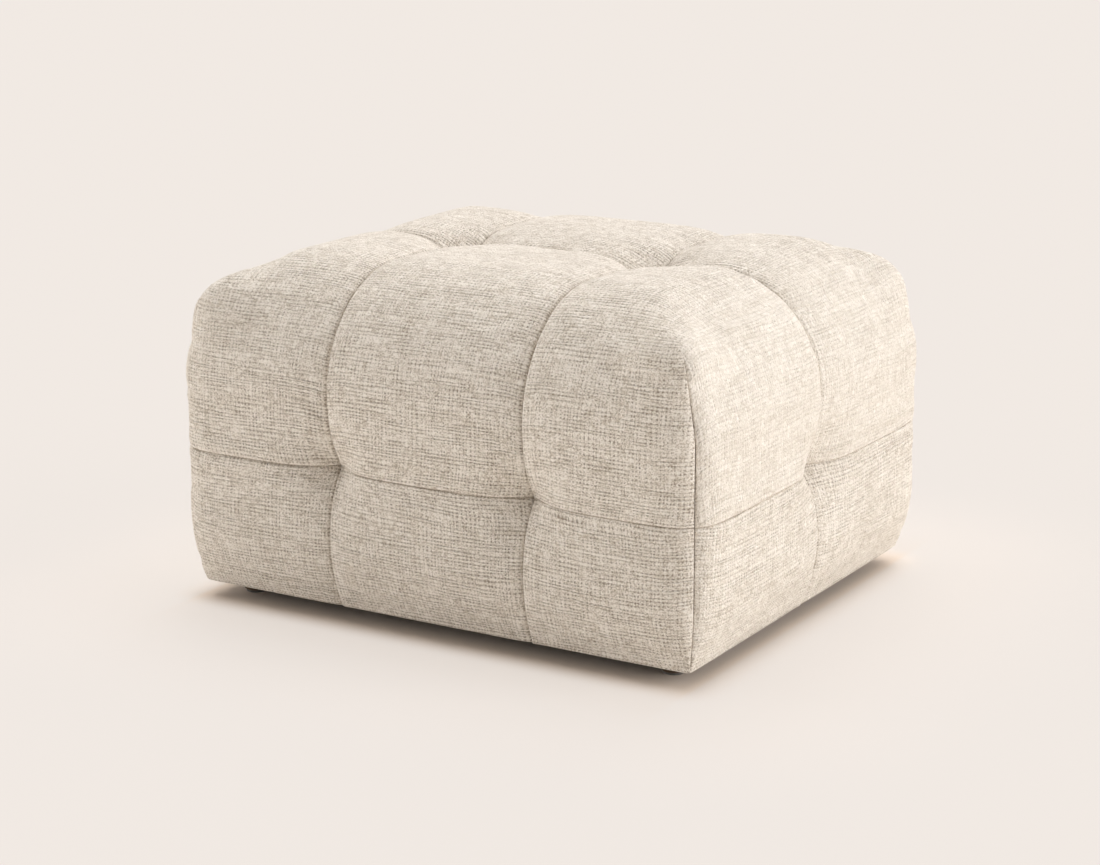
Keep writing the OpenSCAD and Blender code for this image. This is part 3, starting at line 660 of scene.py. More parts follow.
def panel_mesh(name, shape, sewing, patches, right, back, swelling, seed):
    """One sewn panel as a mesh with threads laid along its UVs, in metres."""
    points, uvs, turns, seams, faces = [], [], [], [], []
    count = 0
    shift = np.random.RandomState(seed).uniform(0, 3, 2)
    sign = np.array([right, back, 1])
    for k, patch in enumerate(patches):
        p, n = patch.points * sign, patch.normals * sign
        lift = pleats(shape, sewing, p) - patch.depth + pinches(shape, sewing, patch)
        lift = lift + seam_edges(sewing, patch, name.endswith("middle"), right, back)
        if k == 1 and patch.plane == "short":
            lift = lift + dart_folds(shape, sewing, patch)
        if swelling is not None:
            lift = lift + swelling.at(name, k, patch, n)
        p = p + n * lift[..., None]
        f = sheet_faces(*p.shape[:2], count)
        a, b, c, _ = (p.reshape(-1, 3)[f[:, m] - count] for m in range(4))
        outward = np.einsum("ij,ij->i", np.cross(b - a, c - a), n.reshape(-1, 3)[f[:, 0] - count])
        faces.append(f if np.median(outward) > 0 else f[:, ::-1])
        points.append(p.reshape(-1, 3))
        uvs.append((patch.uv * [right, 1] + shift).reshape(-1, 2))
        turns.append(patch.turn.reshape(-1))
        # Painted shade: how dark each point is painted in the seams' grooves and round the tufts
        seams.append(np.maximum(patch.seam, tuft_shade(shape, patch)).reshape(-1))
        count += p.shape[0] * p.shape[1]
    if name.startswith("cover_low"):
        under, under_uv, under_faces = hem(shape, patches[0], points[0], uvs[0], count)
        flip = faces[0][0, 1] != sheet_faces(*patches[0].points.shape[:2])[0, 1]
        points.append(under)
        uvs.append(under_uv)
        turns.append(np.zeros(len(under)))
        seams.append(np.zeros(len(under)))
        faces.append(under_faces[:, ::-1] if flip else under_faces)
    points, uvs, turns, seams, faces = (np.concatenate(x) for x in (points, uvs, turns, seams, faces))
    mesh = plain_mesh(name, points.tolist(), faces.tolist())
    layer = mesh.uv_layers.new(name="UVMap")
    layer.data.foreach_set("uv", uvs[faces.reshape(-1)].reshape(-1))
    mesh.attributes.new("slub_turn", "FLOAT", "POINT").data.foreach_set("value", turns)
    mesh.attributes.new("seam_depth", "FLOAT", "POINT").data.foreach_set("value", seams)
    with edited(mesh) as bm:
        bmesh.ops.remove_doubles(bm, verts=bm.verts, dist=0.00008)
        bmesh.ops.dissolve_degenerate(bm, edges=bm.edges, dist=0.00002)
    mesh.shade_smooth()
    return mesh


# The hem: turns of the rounded bottom edge, where the hem's rows start, and the cloth that lies in the edge
EDGE_TURNS = (18, 36, 54, 72, 90)
HEM_START = 0.011
HEM_SLACK = 0.0034


def hem(shape, patch, points, uvs, first):
    """The rounded bottom edge and the hem that is stapled under the frame."""
    nu, nv = patch.points.shape[:2]
    edge = points.reshape(nu, nv, 3)[:, 0]
    edge_uv = uvs.reshape(nu, nv, 2)[:, 0]
    rows = [(0.0, 0.0, 0.0)]
    for t in np.radians(EDGE_TURNS):
        rows.append((BOTTOM_TURN * (1 - math.cos(t)), BOTTOM_TURN * math.sin(t), BOTTOM_TURN * t))
    rows += [(w, BOTTOM_TURN, w + HEM_SLACK) for w in np.linspace(HEM_START, shape.s.hem, 5)]
    inside, down, run = (np.array(x) for x in zip(*rows))
    p = np.repeat(edge[:, None], len(rows), 1)
    p[..., 0] *= 1 - inside / shape.base[0]
    p[..., 1] *= 1 - inside / shape.base[1]
    p[..., 2] -= down
    uv = np.repeat(edge_uv[:, None], len(rows), 1)
    uv[..., 1] -= run
    f = sheet_faces(nu, len(rows), first)[:, ::-1]
    return p.reshape(-1, 3), uv.reshape(-1, 2), f


class Tree:
    """Short ways to add shader nodes to a tree and to link them."""

    def __init__(self, tree):
        self.tree = tree
        tree.nodes.clear()

    def put(self, socket, value):
        if isinstance(value, bpy.types.NodeSocket):
            self.tree.links.new(value, socket)
        else:
            socket.default_value = value

    def node(self, kind, inputs=(), **settings):
        made = self.tree.nodes.new("ShaderNode" + kind)
        for key, value in settings.items():
            setattr(made, key, value)
        for key, value in dict(inputs).items():
            self.put(made.inputs[key], value)
        return made

    def math(self, operation, *values, clamp=False):
        return self.node("Math", enumerate(values), operation=operation, use_clamp=clamp).outputs[0]

    def add(self, a, b, clamp=False):
        return self.math("ADD", a, b, clamp=clamp)

    def sub(self, a, b):
        return self.math("SUBTRACT", a, b)

    def mul(self, a, b):
        return self.math("MULTIPLY", a, b)

    def mul_add(self, a, b, c, clamp=False):
        return self.math("MULTIPLY_ADD", a, b, c, clamp=clamp)

    def size(self, value):
        return self.math("ABSOLUTE", value)

    def zigzag(self, value):
        """1 at whole numbers and 0 halfway between them."""
        return self.size(self.mul_add(self.math("FRACT", value), 2.0, -1.0))

    def step(self, value, low, high, to_low=0.0, to_high=1.0):
        inputs = enumerate((value, low, high, to_low, to_high))
        return self.node("MapRange", inputs, interpolation_type="SMOOTHSTEP").outputs[0]

    def blend(self, factor, a, b):
        return self.node("Mix", {0: factor, 2: a, 3: b}, data_type="FLOAT").outputs[0]

    def mix(self, factor, a, b, kind="MIX"):
        return self.node("Mix", {0: factor, 6: a, 7: b}, data_type="RGBA", blend_type=kind).outputs[2]

    def shaded(self, colour, value):
        """A colour times a value or a tint."""
        if value.type == "VALUE":
            value = self.join(value, value, value)
        return self.mix(1.0, colour, value, "MULTIPLY")

    def noise(self, vector, scale, detail=2.0, rough=0.5):
        inputs = {"Vector": vector, "Scale": scale, "Detail": detail, "Roughness": rough}
        return self.node("TexNoise", inputs).outputs[0]

    def join(self, x, y, z=0.0):
        return self.node("CombineXYZ", {0: x, 1: y, 2: z}).outputs[0]

    def split(self, vector):
        return self.node("SeparateXYZ", {0: vector}).outputs


SOCKETS = {float: "NodeSocketFloat", tuple: "NodeSocketColor", type(None): "NodeSocketVector"}


def new_group(name, inputs, outputs):
    """A shader node group, made from its inputs' defaults and its outputs' names. Returns its tree helper,
    its inputs by name and a call that sets its outputs."""
    group = bpy.data.node_groups.new(name, "ShaderNodeTree")
    for label, default in inputs.items():
        socket = group.interface.new_socket(name=label, in_out="INPUT", socket_type=SOCKETS[type(default)])
        if default is not None:
            socket.default_value = default
    for label in outputs:
        kind = SOCKETS[tuple if label == "Color" else float]
        group.interface.new_socket(name=label, in_out="OUTPUT", socket_type=kind)
    t = Tree(group)
    entry = group.nodes.new("NodeGroupInput").outputs
    leave = group.nodes.new("NodeGroupOutput")

    def set_outputs(**values):
        for key, value in values.items():
            t.put(leave.inputs[key.replace("_", " ")], value)
    return t, {o.name: o for o in entry if o.name}, set_outputs


def use_group(t, name, **inputs):
    made = t.tree.nodes.new("ShaderNodeGroup")
    made.node_tree = bpy.data.node_groups[name]
    for key, value in inputs.items():
        t.put(made.inputs[key.replace("_", " ")], value)
    return made.outputs


# Threads of the weave: width of the columns' to the rows', how far they wander, in threads, how far apart
# their noises lie, how round they are, and the palest tone to that of the yarn
COLUMN_WIDTH = 1.12
THREAD_WANDER = 1.5
THREAD_APART = 7.31
THREAD_ROUND = 0.96
BRIGHTEST = 1.04


def build_weave():
    """Plain weave of uneven yarn: threads of uneven width, small dark holes and gaps in runs, long pale
    threads, nubs and mottled pile."""
    t, i, done = new_group("Slubbed weave", {
        "Vector": None, "Thread": 0.004, "Turn": 0.0, "Slubs": 1.0,
        "Yarn": (0.6, 0.5, 0.4, 1), "Slub": (0.8, 0.7, 0.6, 1), "Gap": (0.2, 0.2, 0.1, 1),
    }, ("Color", "Height", "Pile"))
    metres = i["Vector"]
    x, y, _ = t.split(metres)
    a = t.math("DIVIDE", x, t.mul(i["Thread"], COLUMN_WIDTH))
    b = t.math("DIVIDE", y, i["Thread"])

    def uneven(place, beside, seed):
        """Place counted in threads that differ in width."""
        wander = t.noise(t.join(t.mul(place, 0.2), t.mul(beside, 0.02), seed), 1.0, 2.0)
        return t.add(place, t.mul_add(wander, 2 * THREAD_WANDER, -THREAD_WANDER))

    def along(spot, line, stretch, seed):
        """Noise that runs along each thread by itself."""
        return t.noise(t.join(t.mul(spot, stretch), t.mul_add(line, THREAD_APART, seed)), 1.0, 1.0)

    def bulge(across):
        return t.math("SQRT", t.sub(1.0, t.mul(t.math("POWER", across, 2.0), THREAD_ROUND)))

    def either(rows, columns):
        """A strength that changes where the threads turn."""
        return t.blend(i["Turn"], rows, columns)

    u, v = uneven(a, b, 2.7), uneven(b, a, 8.3)
    column, row = t.math("FLOOR", u), t.math("FLOOR", v)
    across_u, across_v = t.zigzag(u), t.zigzag(v)
    body = t.math("MAXIMUM", bulge(across_u), bulge(across_v))
    drawn = t.node("TexWhiteNoise", {"Vector": t.join(column, row)}, noise_dimensions="2D")
    chance, other, _ = t.split(drawn.outputs[1])
    dots = t.mul(t.step(across_u, 0.3, 0.95), t.step(across_v, 0.3, 0.95))
    dots = t.mul(dots, t.mul(t.math("POWER", chance, 1.8), either(1.35, 0.7)))
    row_gap = t.mul(t.step(across_v, 0.45, 0.95), t.step(along(u, row, 0.12, 3.1), 0.44, 0.62))
    column_gap = t.mul(t.step(across_u, 0.45, 0.95), t.step(along(v, column, 0.12, 9.7), 0.47, 0.65))
    dark = t.add(t.mul(row_gap, either(0.5, 0.15)), t.mul(column_gap, either(0.14, 0.3)))
    dark = t.add(dark, dots, clamp=True)
    pale_row = t.mul(t.step(along(u, row, 0.05, 31.0), 0.57, 0.64), t.step(across_v, 0.6, 0.1))
    pale_column = t.mul(t.step(along(v, column, 0.05, 47.0), 0.59, 0.66), t.step(across_u, 0.55, 0.1))
    slub = t.add(t.mul(pale_row, either(0.8, 0.5)), t.mul(pale_column, either(0.4, 0.7)), clamp=True)
    slub = t.mul(slub, i["Slubs"])
    fuzz = t.noise(metres, 560.0, 1.0, 0.6)
    nubs = t.noise(metres, 300.0, 2.0, 0.65)
    pile = t.noise(t.join(t.mul(x, 0.6), y), 36.0, 3.0, 0.6)
    patches = t.noise(metres, 9.0, 2.0, 0.5)
    light = t.mul_add(pile, 0.10, 0.85)
    for part, strength in (
        (patches, 0.06), (other, 0.10), (fuzz, either(1.5, 0.8)), (nubs, either(0.6, 0.35)),
        (along(u, row, 0.6, 15.0), either(0.5, 0.2)), (along(v, column, 0.6, 23.0), either(0.45, 0.25)),
        (along(u, row, 0.04, 60.0), either(0.24, 0.12)), (along(v, column, 0.04, 80.0), either(0.14, 0.2)),
    ):
        light = t.add(light, t.mul(t.sub(part, 0.5), strength))
    light = t.math("MINIMUM", light, BRIGHTEST)
    tone = t.join(t.math("POWER", light, 0.87), light, t.math("POWER", light, 1.18))
    colour = t.shaded(t.mix(slub, i["Yarn"], i["Slub"]), tone)
    colour = t.mix(t.mul(dark, either(0.8, 0.5)), colour, i["Gap"])
    height = t.sub(t.mul(body, 0.45), t.mul(dark, 0.6))
    for part, strength in ((slub, 0.6), (nubs, 1.6), (fuzz, 0.5)):
        height = t.add(height, t.mul(part, strength))
    done(Color=colour, Height=height, Pile=pile)


def build_grain():
    """Wood grain along an axis, with rings, pores and uneven tone."""
    t, i, done = new_group("Wood grain", {
        "Vector": None, "Light": (0.7, 0.5, 0.3, 1), "Dark": (0.4, 0.25, 0.1, 1), "Rings": 60.0,
    }, ("Color", "Height", "Tone"))
    bend = t.noise(i["Vector"], 3.0, 3.0)
    x, y, z = t.split(i["Vector"])
    spot = t.join(t.mul(x, 0.06), t.add(y, t.mul(bend, 0.02)), z)
    rings = t.noise(spot, i["Rings"], 4.0, 0.6)
    pores = t.noise(t.join(t.mul(x, 0.03), y, z), 900.0, 2.0)
    tone = t.mul_add(pores, 0.3, t.mul(rings, 0.8), clamp=True)
    done(Color=t.mix(t.step(tone, 0.3, 0.8), i["Dark"], i["Light"]), Height=pores, Tone=tone)


def build_speckle():
    """Uneven tone and fine specks over a plain colour."""
    t, i, done = new_group("Speckle", {
        "Vector": None, "Colour": (0.5, 0.5, 0.5, 1), "Size": 0.002, "Change": 0.2,
    }, ("Color", "Height", "Patches"))
    fine = t.noise(i["Vector"], t.math("DIVIDE", 1.0, i["Size"]), 3.0, 0.6)
    wide = t.noise(i["Vector"], t.math("DIVIDE", 0.08, i["Size"]), 3.0)
    total = t.sub(t.add(fine, wide), 1.0)
    light = t.mul_add(total, i["Change"], 1.0)
    done(Color=t.shaded(i["Colour"], light), Height=fine, Patches=wide)


FINISH = "finish_"


def finish_material(name, build, **surface):
    """A material whose build call returns colour, height and bump depth, and other linked sockets by name."""
    made = bpy.data.materials.new(FINISH + name)
    made.use_nodes = True
    t = Tree(made.node_tree)
    out = t.node("OutputMaterial")
    shader = t.node("BsdfPrincipled")
    t.put(out.inputs["Surface"], shader.outputs[0])
    colour, height, depth, linked = build(t)
    t.put(shader.inputs["Base Color"], colour)
    if height is not None:
        bump = t.node("Bump", {"Height": height, "Strength": 1.0, "Distance": depth})
        t.put(shader.inputs["Normal"], bump.outputs[0])
    for key, value in linked.items():
        t.put(shader.inputs[key], value)
    for key, value in surface.items():
        shader.inputs[key.replace("_", " ")].default_value = value
    return made


def place(t):
    return t.node("TexCoord").outputs["Object"]


def opaque(colour):
    return (*colour, 1)


# How much of the painted shade, the colour deep in a seam, the deepest place of a seam or a tuft takes
PAINTED_SHADE_SHARE = 0.42


def fabric_material(settings):
    def build(t):
        uv = t.node("UVMap", uv_map="UVMap").outputs[0]
        turn = t.node("Attribute", attribute_name="slub_turn").outputs["Fac"]
        yarns = {name.title(): opaque(getattr(settings, name)) for name in ("yarn", "slub", "gap")}
        weave = use_group(t, "Slubbed weave", Vector=uv, Thread=settings.thread, Turn=turn, **yarns)
        rough = t.step(weave["Pile"], 0.3, 0.7, 0.95, 0.8)
        # Painted shade: the seams' grooves and the dimples round the tufts are mixed towards the dark seam
        # colour
        seam = t.mul(t.node("Attribute", attribute_name="seam_depth").outputs["Fac"], PAINTED_SHADE_SHARE)
        colour = t.mix(seam, weave["Color"], opaque(settings.deep))
        return colour, weave["Height"], 0.0014, {"Roughness": rough}
    return finish_material(
        "cover_fabric", build, Sheen_Weight=0.28, Sheen_Roughness=0.3, Sheen_Tint=(1.0, 0.95, 0.89, 1),
        Specular_IOR_Level=0.15)


# How far from the webbing's middle its two stripes lie
STRIPE_OUT = 0.022


def strap_material():
    def build(t):
        uv = t.node("UVMap", uv_map="UVMap").outputs[0]
        y = t.split(uv)[1]
        weave = use_group(
            t, "Slubbed weave", Vector=uv, Thread=0.0018, Slubs=0.3, Yarn=(0.50, 0.41, 0.28, 1),
            Slub=(0.62, 0.53, 0.38, 1), Gap=(0.12, 0.09, 0.05, 1))
        stripe = t.step(t.size(t.sub(t.size(y), STRIPE_OUT)), 0.0035, 0.0028)
        colour = t.mix(t.mul(stripe, 0.8), weave["Color"], (0.20, 0.05, 0.03, 1))
        return colour, weave["Height"], 0.0003, {}
    return finish_material("webbing", build, Roughness=0.85, Sheen_Weight=0.15)


def wood_material(name, light, dark, rings, axes, rough=0.55, coat=0.0):
    def build(t):
        parts = t.split(place(t))
        vector = t.join(*(parts[k] for k in axes))
        grain = use_group(t, "Wood grain", Vector=vector, Light=opaque(light), Dark=opaque(dark), Rings=rings)
        tone = t.step(grain["Tone"], 0.2, 0.8, rough + 0.12, rough - 0.08)
        return grain["Color"], grain["Height"], 0.0002, {"Roughness": tone}
    return finish_material(name, build, Coat_Weight=coat, Coat_Roughness=0.25)


def speckle_material(name, colour, size, change, depth, **surface):
    def build(t):
        speckle = use_group(t, "Speckle", Vector=place(t), Colour=opaque(colour), Size=size, Change=change)
        return speckle["Color"], speckle["Height"], depth, {}
    return finish_material(name, build, **surface)


def steel_material():
    def build(t):
        zinc = (0.62, 0.63, 0.62, 1)
        speckle = use_group(t, "Speckle", Vector=place(t), Colour=zinc, Size=0.0006, Change=0.25)
        rough = t.step(speckle["Patches"], 0.35, 0.65, 0.28, 0.5)
        return speckle["Color"], speckle["Height"], 0.00005, {"Roughness": rough}
    return finish_material("zinc_steel", build, Metallic=1.0)


def foam_material(name, colour):
    def build(t):
        where = place(t)
        cells = t.node("TexVoronoi", {"Vector": where, "Scale": 420.0}).outputs["Distance"]
        speckle = use_group(t, "Speckle", Vector=where, Colour=opaque(colour), Size=0.003, Change=0.16)
        shade = t.step(cells, 0.1, 0.6, 1.0, 0.8)
        return t.shaded(speckle["Color"], shade), cells, 0.0006, {}
    return finish_material(name, build, Roughness=0.95)


def cloth_material(name, colour, dimple):
    """Bonded cloth with a pattern of pressed dimples."""
    def build(t):
        where = place(t)
        x, y, _ = t.split(where)
        u, v = (t.mul(c, 1 / dimple) for c in (x, y))
        dimples = t.step(t.add(t.zigzag(t.add(u, v)), t.zigzag(t.sub(u, v))), 0.7, 0.3)
        speckle = use_group(t, "Speckle", Vector=where, Colour=opaque(colour), Size=0.0012, Change=0.7)
        height = t.sub(speckle["Height"], dimples)
        return speckle["Color"], height, 0.0002, {"Roughness": t.step(dimples, 0.0, 1.0, 0.8, 0.55)}
    return finish_material(name, build, Sheen_Weight=0.1)


# How closely the twine's plies follow each other, in radians a metre
PLY_TURNS = 2600.0


def twine_material():
    def build(t):
        where = place(t)
        x, y, z = t.split(where)
        run = t.add(t.add(x, y), z)
        ply = t.math("SINE", t.mul(run, PLY_TURNS))
        speckle = use_group(t, "Speckle", Vector=where, Colour=(0.78, 0.74, 0.66, 1), Size=0.0008, Change=0.3)
        # Painted shade: the grooves between the plies are painted darker
        return t.shaded(speckle["Color"], t.step(ply, -1.0, 0.6, 0.6, 1.0)), ply, 0.0004, {}
    return finish_material("tuft_twine", build, Roughness=0.7, Sheen_Weight=0.2)


# The floor: between which distances from the base, and for how large a share more, the camera sees its colour
# as it is; its painted shadow tints, warm in front of the base and behind it, paler to the sides, and the
# tint further out; and the colour that it throws back on the pouf
FLOOR_PLAIN = ((0.0, 0.050, 0.7), (0.050, 0.40, 0.22))
FLOOR_SHADOW_TINTS = ((1.0, 0.93, 0.86, 1), (1.0, 0.985, 0.97, 1), (1.0, 0.975, 0.955, 1))
FLOOR_BOUNCE = (0.95, 0.905, 0.85, 1)


def floor_material(colour, half_x, half_y):
    """A pale floor, which can't be seen from below. Away from the pouf's base the camera sees part of its
    colour as it is, so that only the shadow close to the base stays deep."""
    made = bpy.data.materials.new(FINISH + "studio_floor")
    made.use_nodes = True
    t = Tree(made.node_tree)
    where = place(t)
    x, y, _ = t.split(where)
    light = t.mul_add(t.noise(where, 400.0, 2.0), 0.012, 0.994)
    out_x = t.math("MAXIMUM", t.sub(t.size(x), half_x), 0.0)
    out_y = t.math("MAXIMUM", t.sub(t.size(y), half_y), 0.0)
    out = t.math("SQRT", t.add(t.math("POWER", out_x, 2.0), t.math("POWER", out_y, 2.0)))
    ahead, beside, further = FLOOR_SHADOW_TINTS
    # Painted shadow tint: the floor is tinted warm close to the base, more in front of and behind it than
    # beside it, so that its shadow reads brown
    shadow_tint = t.mix(t.step(out_x, 0.0, 0.012), ahead, beside)
    shadow_tint = t.mix(t.step(out, 0.0, 0.15), shadow_tint, further)
    shade = t.shaded(opaque(colour), t.shaded(shadow_tint, light))
    seen = t.node("LightPath").outputs["Is Camera Ray"]
    share = t.add(*(t.step(out, near, far, 0.0, more) for near, far, more in FLOOR_PLAIN))
    share = t.mul(share, seen)
    shade = t.mix(seen, FLOOR_BOUNCE, shade)
    lit = t.node("BsdfPrincipled", {"Base Color": shade, "Roughness": 0.9, "Specular IOR Level": 0.0})
    plain_colour = t.node("Emission", {"Color": opaque(colour), "Strength": 1.0})
    surface = t.node("MixShader", {0: share, 1: lit.outputs[0], 2: plain_colour.outputs[0]})
    below = t.node("NewGeometry").outputs["Backfacing"]
    surface = t.node("MixShader", {0: below, 1: surface.outputs[0], 2: t.node("BsdfTransparent").outputs[0]})
    t.put(t.node("OutputMaterial").inputs["Surface"], surface.outputs[0])
    return made


def material(name):
    return bpy.data.materials[FINISH + name]


def dress(nodes, name):
    """Gives CAD nodes a finish through their objects' material slots."""
    for node in nodes:
        obj = NODES[node]
        if not obj.material_slots:
            obj.data.materials.append(None)
        for slot in obj.material_slots:
            slot.link = "OBJECT"
            slot.material = material(name)


def add_piece(name, mesh, finish, slot, *nodes):
    """A piece of the dressed part, which stands for CAD nodes."""
    piece = place_object(name, mesh)
    mesh.materials.clear()
    mesh.materials.append(material(finish))
    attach(piece, "root")
    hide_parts(*nodes)
    return piece


class PoufOperator:
    bl_options = {"REGISTER", "UNDO"}


class POUF_OT_finishes(PoufOperator, bpy.types.Operator):
    """Make the shader groups and the materials of every finish"""

    bl_idname = "pouf.finishes"
    bl_label = "Finishes"

    def execute(self, context):
        build_weave()
        build_grain()
        build_speckle()
        fabric_material(context.scene.pouf_fabric)
        strap_material()
        pine, late = (0.72, 0.50, 0.27), (0.48, 0.29, 0.13)
        for axis, axes in (("x", (0, 1, 2)), ("y", (1, 0, 2)), ("z", (2, 0, 1))):
            wood_material("softwood_" + axis, pine, late, 70.0, axes)
        wood_material("beech_dowel", (0.66, 0.45, 0.27), (0.50, 0.31, 0.17), 160.0, (0, 1, 2))
        wood_material("plywood", (0.66, 0.46, 0.26), (0.42, 0.26, 0.13), 45.0, (0, 2, 1))
        wood_material("dark_wood", (0.115, 0.066, 0.026), (0.05, 0.028, 0.012), 130.0, (2, 0, 1), 0.5, 0.12)
        steel_material()
        foam_material("seat_foam", (0.80, 0.72, 0.47))
        foam_material("soft_foam", (0.84, 0.83, 0.80))
        cloth_material("platform_cloth", (0.62, 0.58, 0.51), 0.004)
        cloth_material("dust_cloth", (0.021, 0.021, 0.023), 0.003)
        twine_material()
        speckle_material("tuft_washer", (0.07, 0.062, 0.055), 0.001, 0.5, 0.0001, Roughness=0.6)
        speckle_material("felt", (0.16, 0.145, 0.13), 0.0005, 0.9, 0.0005, Roughness=1.0, Sheen_Weight=0.4)
        return {"FINISHED"}


class POUF_OT_cover(PoufOperator, bpy.types.Operator):
    """Sew the sixteen panels of the cover over the padding"""

    bl_idname = "pouf.cover"
    bl_label = "Cover"

    def execute(self, context):
        scene = context.scene
        shape = Upholstery(scene.pouf_shape)
        sewing = scene.pouf_sewing
        cover = Cover(shape, sewing, sewing.grid * (1))
        swelling = Swelling(shape, sewing)
        for number, (name, (kind, right, back)) in enumerate(Cover.PLACES.items()):
            mesh = panel_mesh(name, shape, sewing, cover.panels[kind], right, back, swelling, 100 + number)
            piece = add_piece(name.replace("cover", "panel"), mesh, "cover_fabric", "cover_fabric", name)
        return {"FINISHED"}


def moulded(node, voxel, shrink):
    """A soft copy of a CAD solid: remeshed, smoothed and drawn in a little."""
    mesh = NODES[node].data.copy()
    with edited(mesh) as bm:
        bmesh.ops.remove_doubles(bm, verts=bm.verts, dist=0.00001)
    source = place_object("moulding", mesh)
    remesh = source.modifiers.new("Remesh", "REMESH")
    remesh.mode = "VOXEL"
    remesh.voxel_size = voxel
    smooth = source.modifiers.new("Smooth", "SMOOTH")
    smooth.iterations = 4
    draw_in = source.modifiers.new("Displace", "DISPLACE")
    draw_in.strength = -shrink
    draw_in.mid_level = 0
    return evaluated_mesh(source)


# The pads: how far they lie inside the cover, their grid, half the length and depth of the seat foam's top,
# and the share of a side pad's rows that lie below the seat foam
PAD_INSET = 0.0080
PAD_GRID = 0.007
CORE = (0.3005, 0.2405)
PAD_BEND = 0.72


def closed_mesh(name, front, back):
    """A closed solid between two grids of points with the same rows."""
    nu, nv = front.shape[:2]
    f, b = sheet_faces(nu, nv), sheet_faces(nu, nv, nu * nv)[:, ::-1]
    rows = np.arange(nu * nv).reshape(nu, nv)
    rim = np.concatenate([rows[:, 0], rows[-1, 1:], rows[-2::-1, -1], rows[0, -2:0:-1]])
    after = np.roll(rim, -1)
    walls = np.stack([after, rim, rim + nu * nv, after + nu * nv], -1)
    points = np.concatenate([front.reshape(-1, 3), back.reshape(-1, 3)])
    mesh = plain_mesh(name, points.tolist(), np.concatenate([f, b, walls]).tolist())
    with edited(mesh) as bm:
        bmesh.ops.recalc_face_normals(bm, faces=bm.faces)
    mesh.shade_smooth()
    mesh.set_sharp_from_angle(angle=math.radians(50))
    return mesh


def pad_mesh(name, shape, plane, sign):
    """A pad of foam from just under the cover to the boards and the seat foam behind it."""
    board_x, board_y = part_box("side_board_right")[1].x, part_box("side_board_back")[1].y
    foam_z, foam_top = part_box("seat_foam")[0].z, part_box("seat_foam")[1].z
    fx, fy, fz = shape.face
    a = PLANES[plane][0]
    us = spread(-shape.face[a], shape.face[a], PAD_GRID)
    if plane == "top":
        vs = spread(-fy, fy, PAD_GRID)
        front = shape.patch(plane, us, vs, PAD_INSET)
        u, v = np.meshgrid(us / fx * CORE[0], vs / fy * CORE[1], indexing="ij")
        return closed_mesh(name, front, np.stack([u, v, np.full_like(u, foam_top)], -1))
    vs = spread(shape.low_z, fz, PAD_GRID)
    front = shape.patch(plane, us, vs, PAD_INSET)
    t = np.linspace(0, 1, len(vs))
    low = np.clip(t / PAD_BEND, 0, 1)
    high = np.clip((t - PAD_BEND) / (1 - PAD_BEND), 0, 1)
    half_x = board_x + high * (CORE[0] - board_x)
    half_y = board_y + high * (CORE[1] - board_y)
    share = us / shape.face[a]
    back = np.empty(front.shape)
    back[..., 2] = shape.low_z + low * (foam_z - shape.low_z) + high * (foam_top - foam_z)
    back[..., a] = share[:, None] * (half_x if plane == "long" else half_y)
    back[..., 1 - a] = half_y if plane == "long" else half_x
    front[..., 1 - a] *= sign
    back[..., 1 - a] *= sign
    return closed_mesh(name, front, back)


class POUF_OT_padding(PoufOperator, bpy.types.Operator):
    """Lay the seat foam and the pads of the top and sides"""

    bl_idname = "pouf.padding"
    bl_label = "Padding"

    def execute(self, context):
        voxel = 0.006
        shape = Upholstery(context.scene.pouf_shape)
        pads = {
            "pad_top": ("top", 1), "pad_front": ("long", -1), "pad_back": ("long", 1),
            "pad_left": ("short", -1), "pad_right": ("short", 1),
        }
        for node, (plane, sign) in pads.items():
            mesh = pad_mesh(node, shape, plane, sign)
            piece = add_piece("soft_" + node, mesh, "soft_foam", "soft_foam", node)
        foam = moulded("seat_foam", voxel, 0.0004)
        piece = add_piece("foam_seat", foam, "seat_foam", "seat_foam", "seat_foam")
        return {"FINISHED"}


# The cloths' ripples: how many waves make them, how sharp these are at most, and how far inside the edge they
# reach their full height
RIPPLE_WAVES = 9
RIPPLE_SHARP = 45
RIPPLE_EDGE = 0.04
# How high the cloths lie above the solids' underside, where the feet's bolts pass the dust cover, the radius
# of their holes, and that of the holes for the top tufts' twines
CLOTH_LIFT = 0.0001
BOLT_X = 0.3065
BOLT_Y = 0.2465
BOLT_HOLE = 0.0075
TWINE_HOLE = 0.004


def cloth_mesh(name, half_x, half_y, low, thick, step, ripple, holes, seed):
    """A flat cloth with its thickness, slightly rippled between its staples, with round holes."""
    xs = np.linspace(-half_x, half_x, 2 * round(half_x / step) + 1)
    ys = np.linspace(-half_y, half_y, 2 * round(half_y / step) + 1)
    x, y = np.meshgrid(xs, ys, indexing="ij")
    draw = np.random.RandomState(seed)
    wave = np.zeros_like(x)
    for _ in range(RIPPLE_WAVES):
        a, b = draw.uniform(-RIPPLE_SHARP, RIPPLE_SHARP), draw.uniform(-RIPPLE_SHARP, RIPPLE_SHARP)
        wave += np.sin(a * x + b * y + draw.uniform(0, 6.3)) / RIPPLE_WAVES
    edge = np.clip(np.minimum(half_x - np.abs(x), half_y - np.abs(y)) / RIPPLE_EDGE, 0, 1)
    z = low + CLOTH_LIFT + ripple * (0.5 + 0.5 * wave) * edge
    faces = sheet_faces(len(xs), len(ys))
    bottom = np.stack([x, y, z], -1).reshape(-1, 3)
    centre = bottom[faces].mean(1)
    for hx, hy, r in holes:
        faces = faces[np.hypot(centre[:, 0] - hx, centre[:, 1] - hy) > r]
        centre = bottom[faces].mean(1)
    mesh = plain_mesh(name, bottom.tolist(), faces.tolist())
    with edited(mesh) as bm:
        bmesh.ops.delete(bm, geom=[v for v in bm.verts if not v.link_faces], context="VERTS")
    source = place_object(name, mesh)
    solid = source.modifiers.new("Solidify", "SOLIDIFY")
    solid.thickness = thick
    solid.offset = 1
    return evaluated_mesh(source)


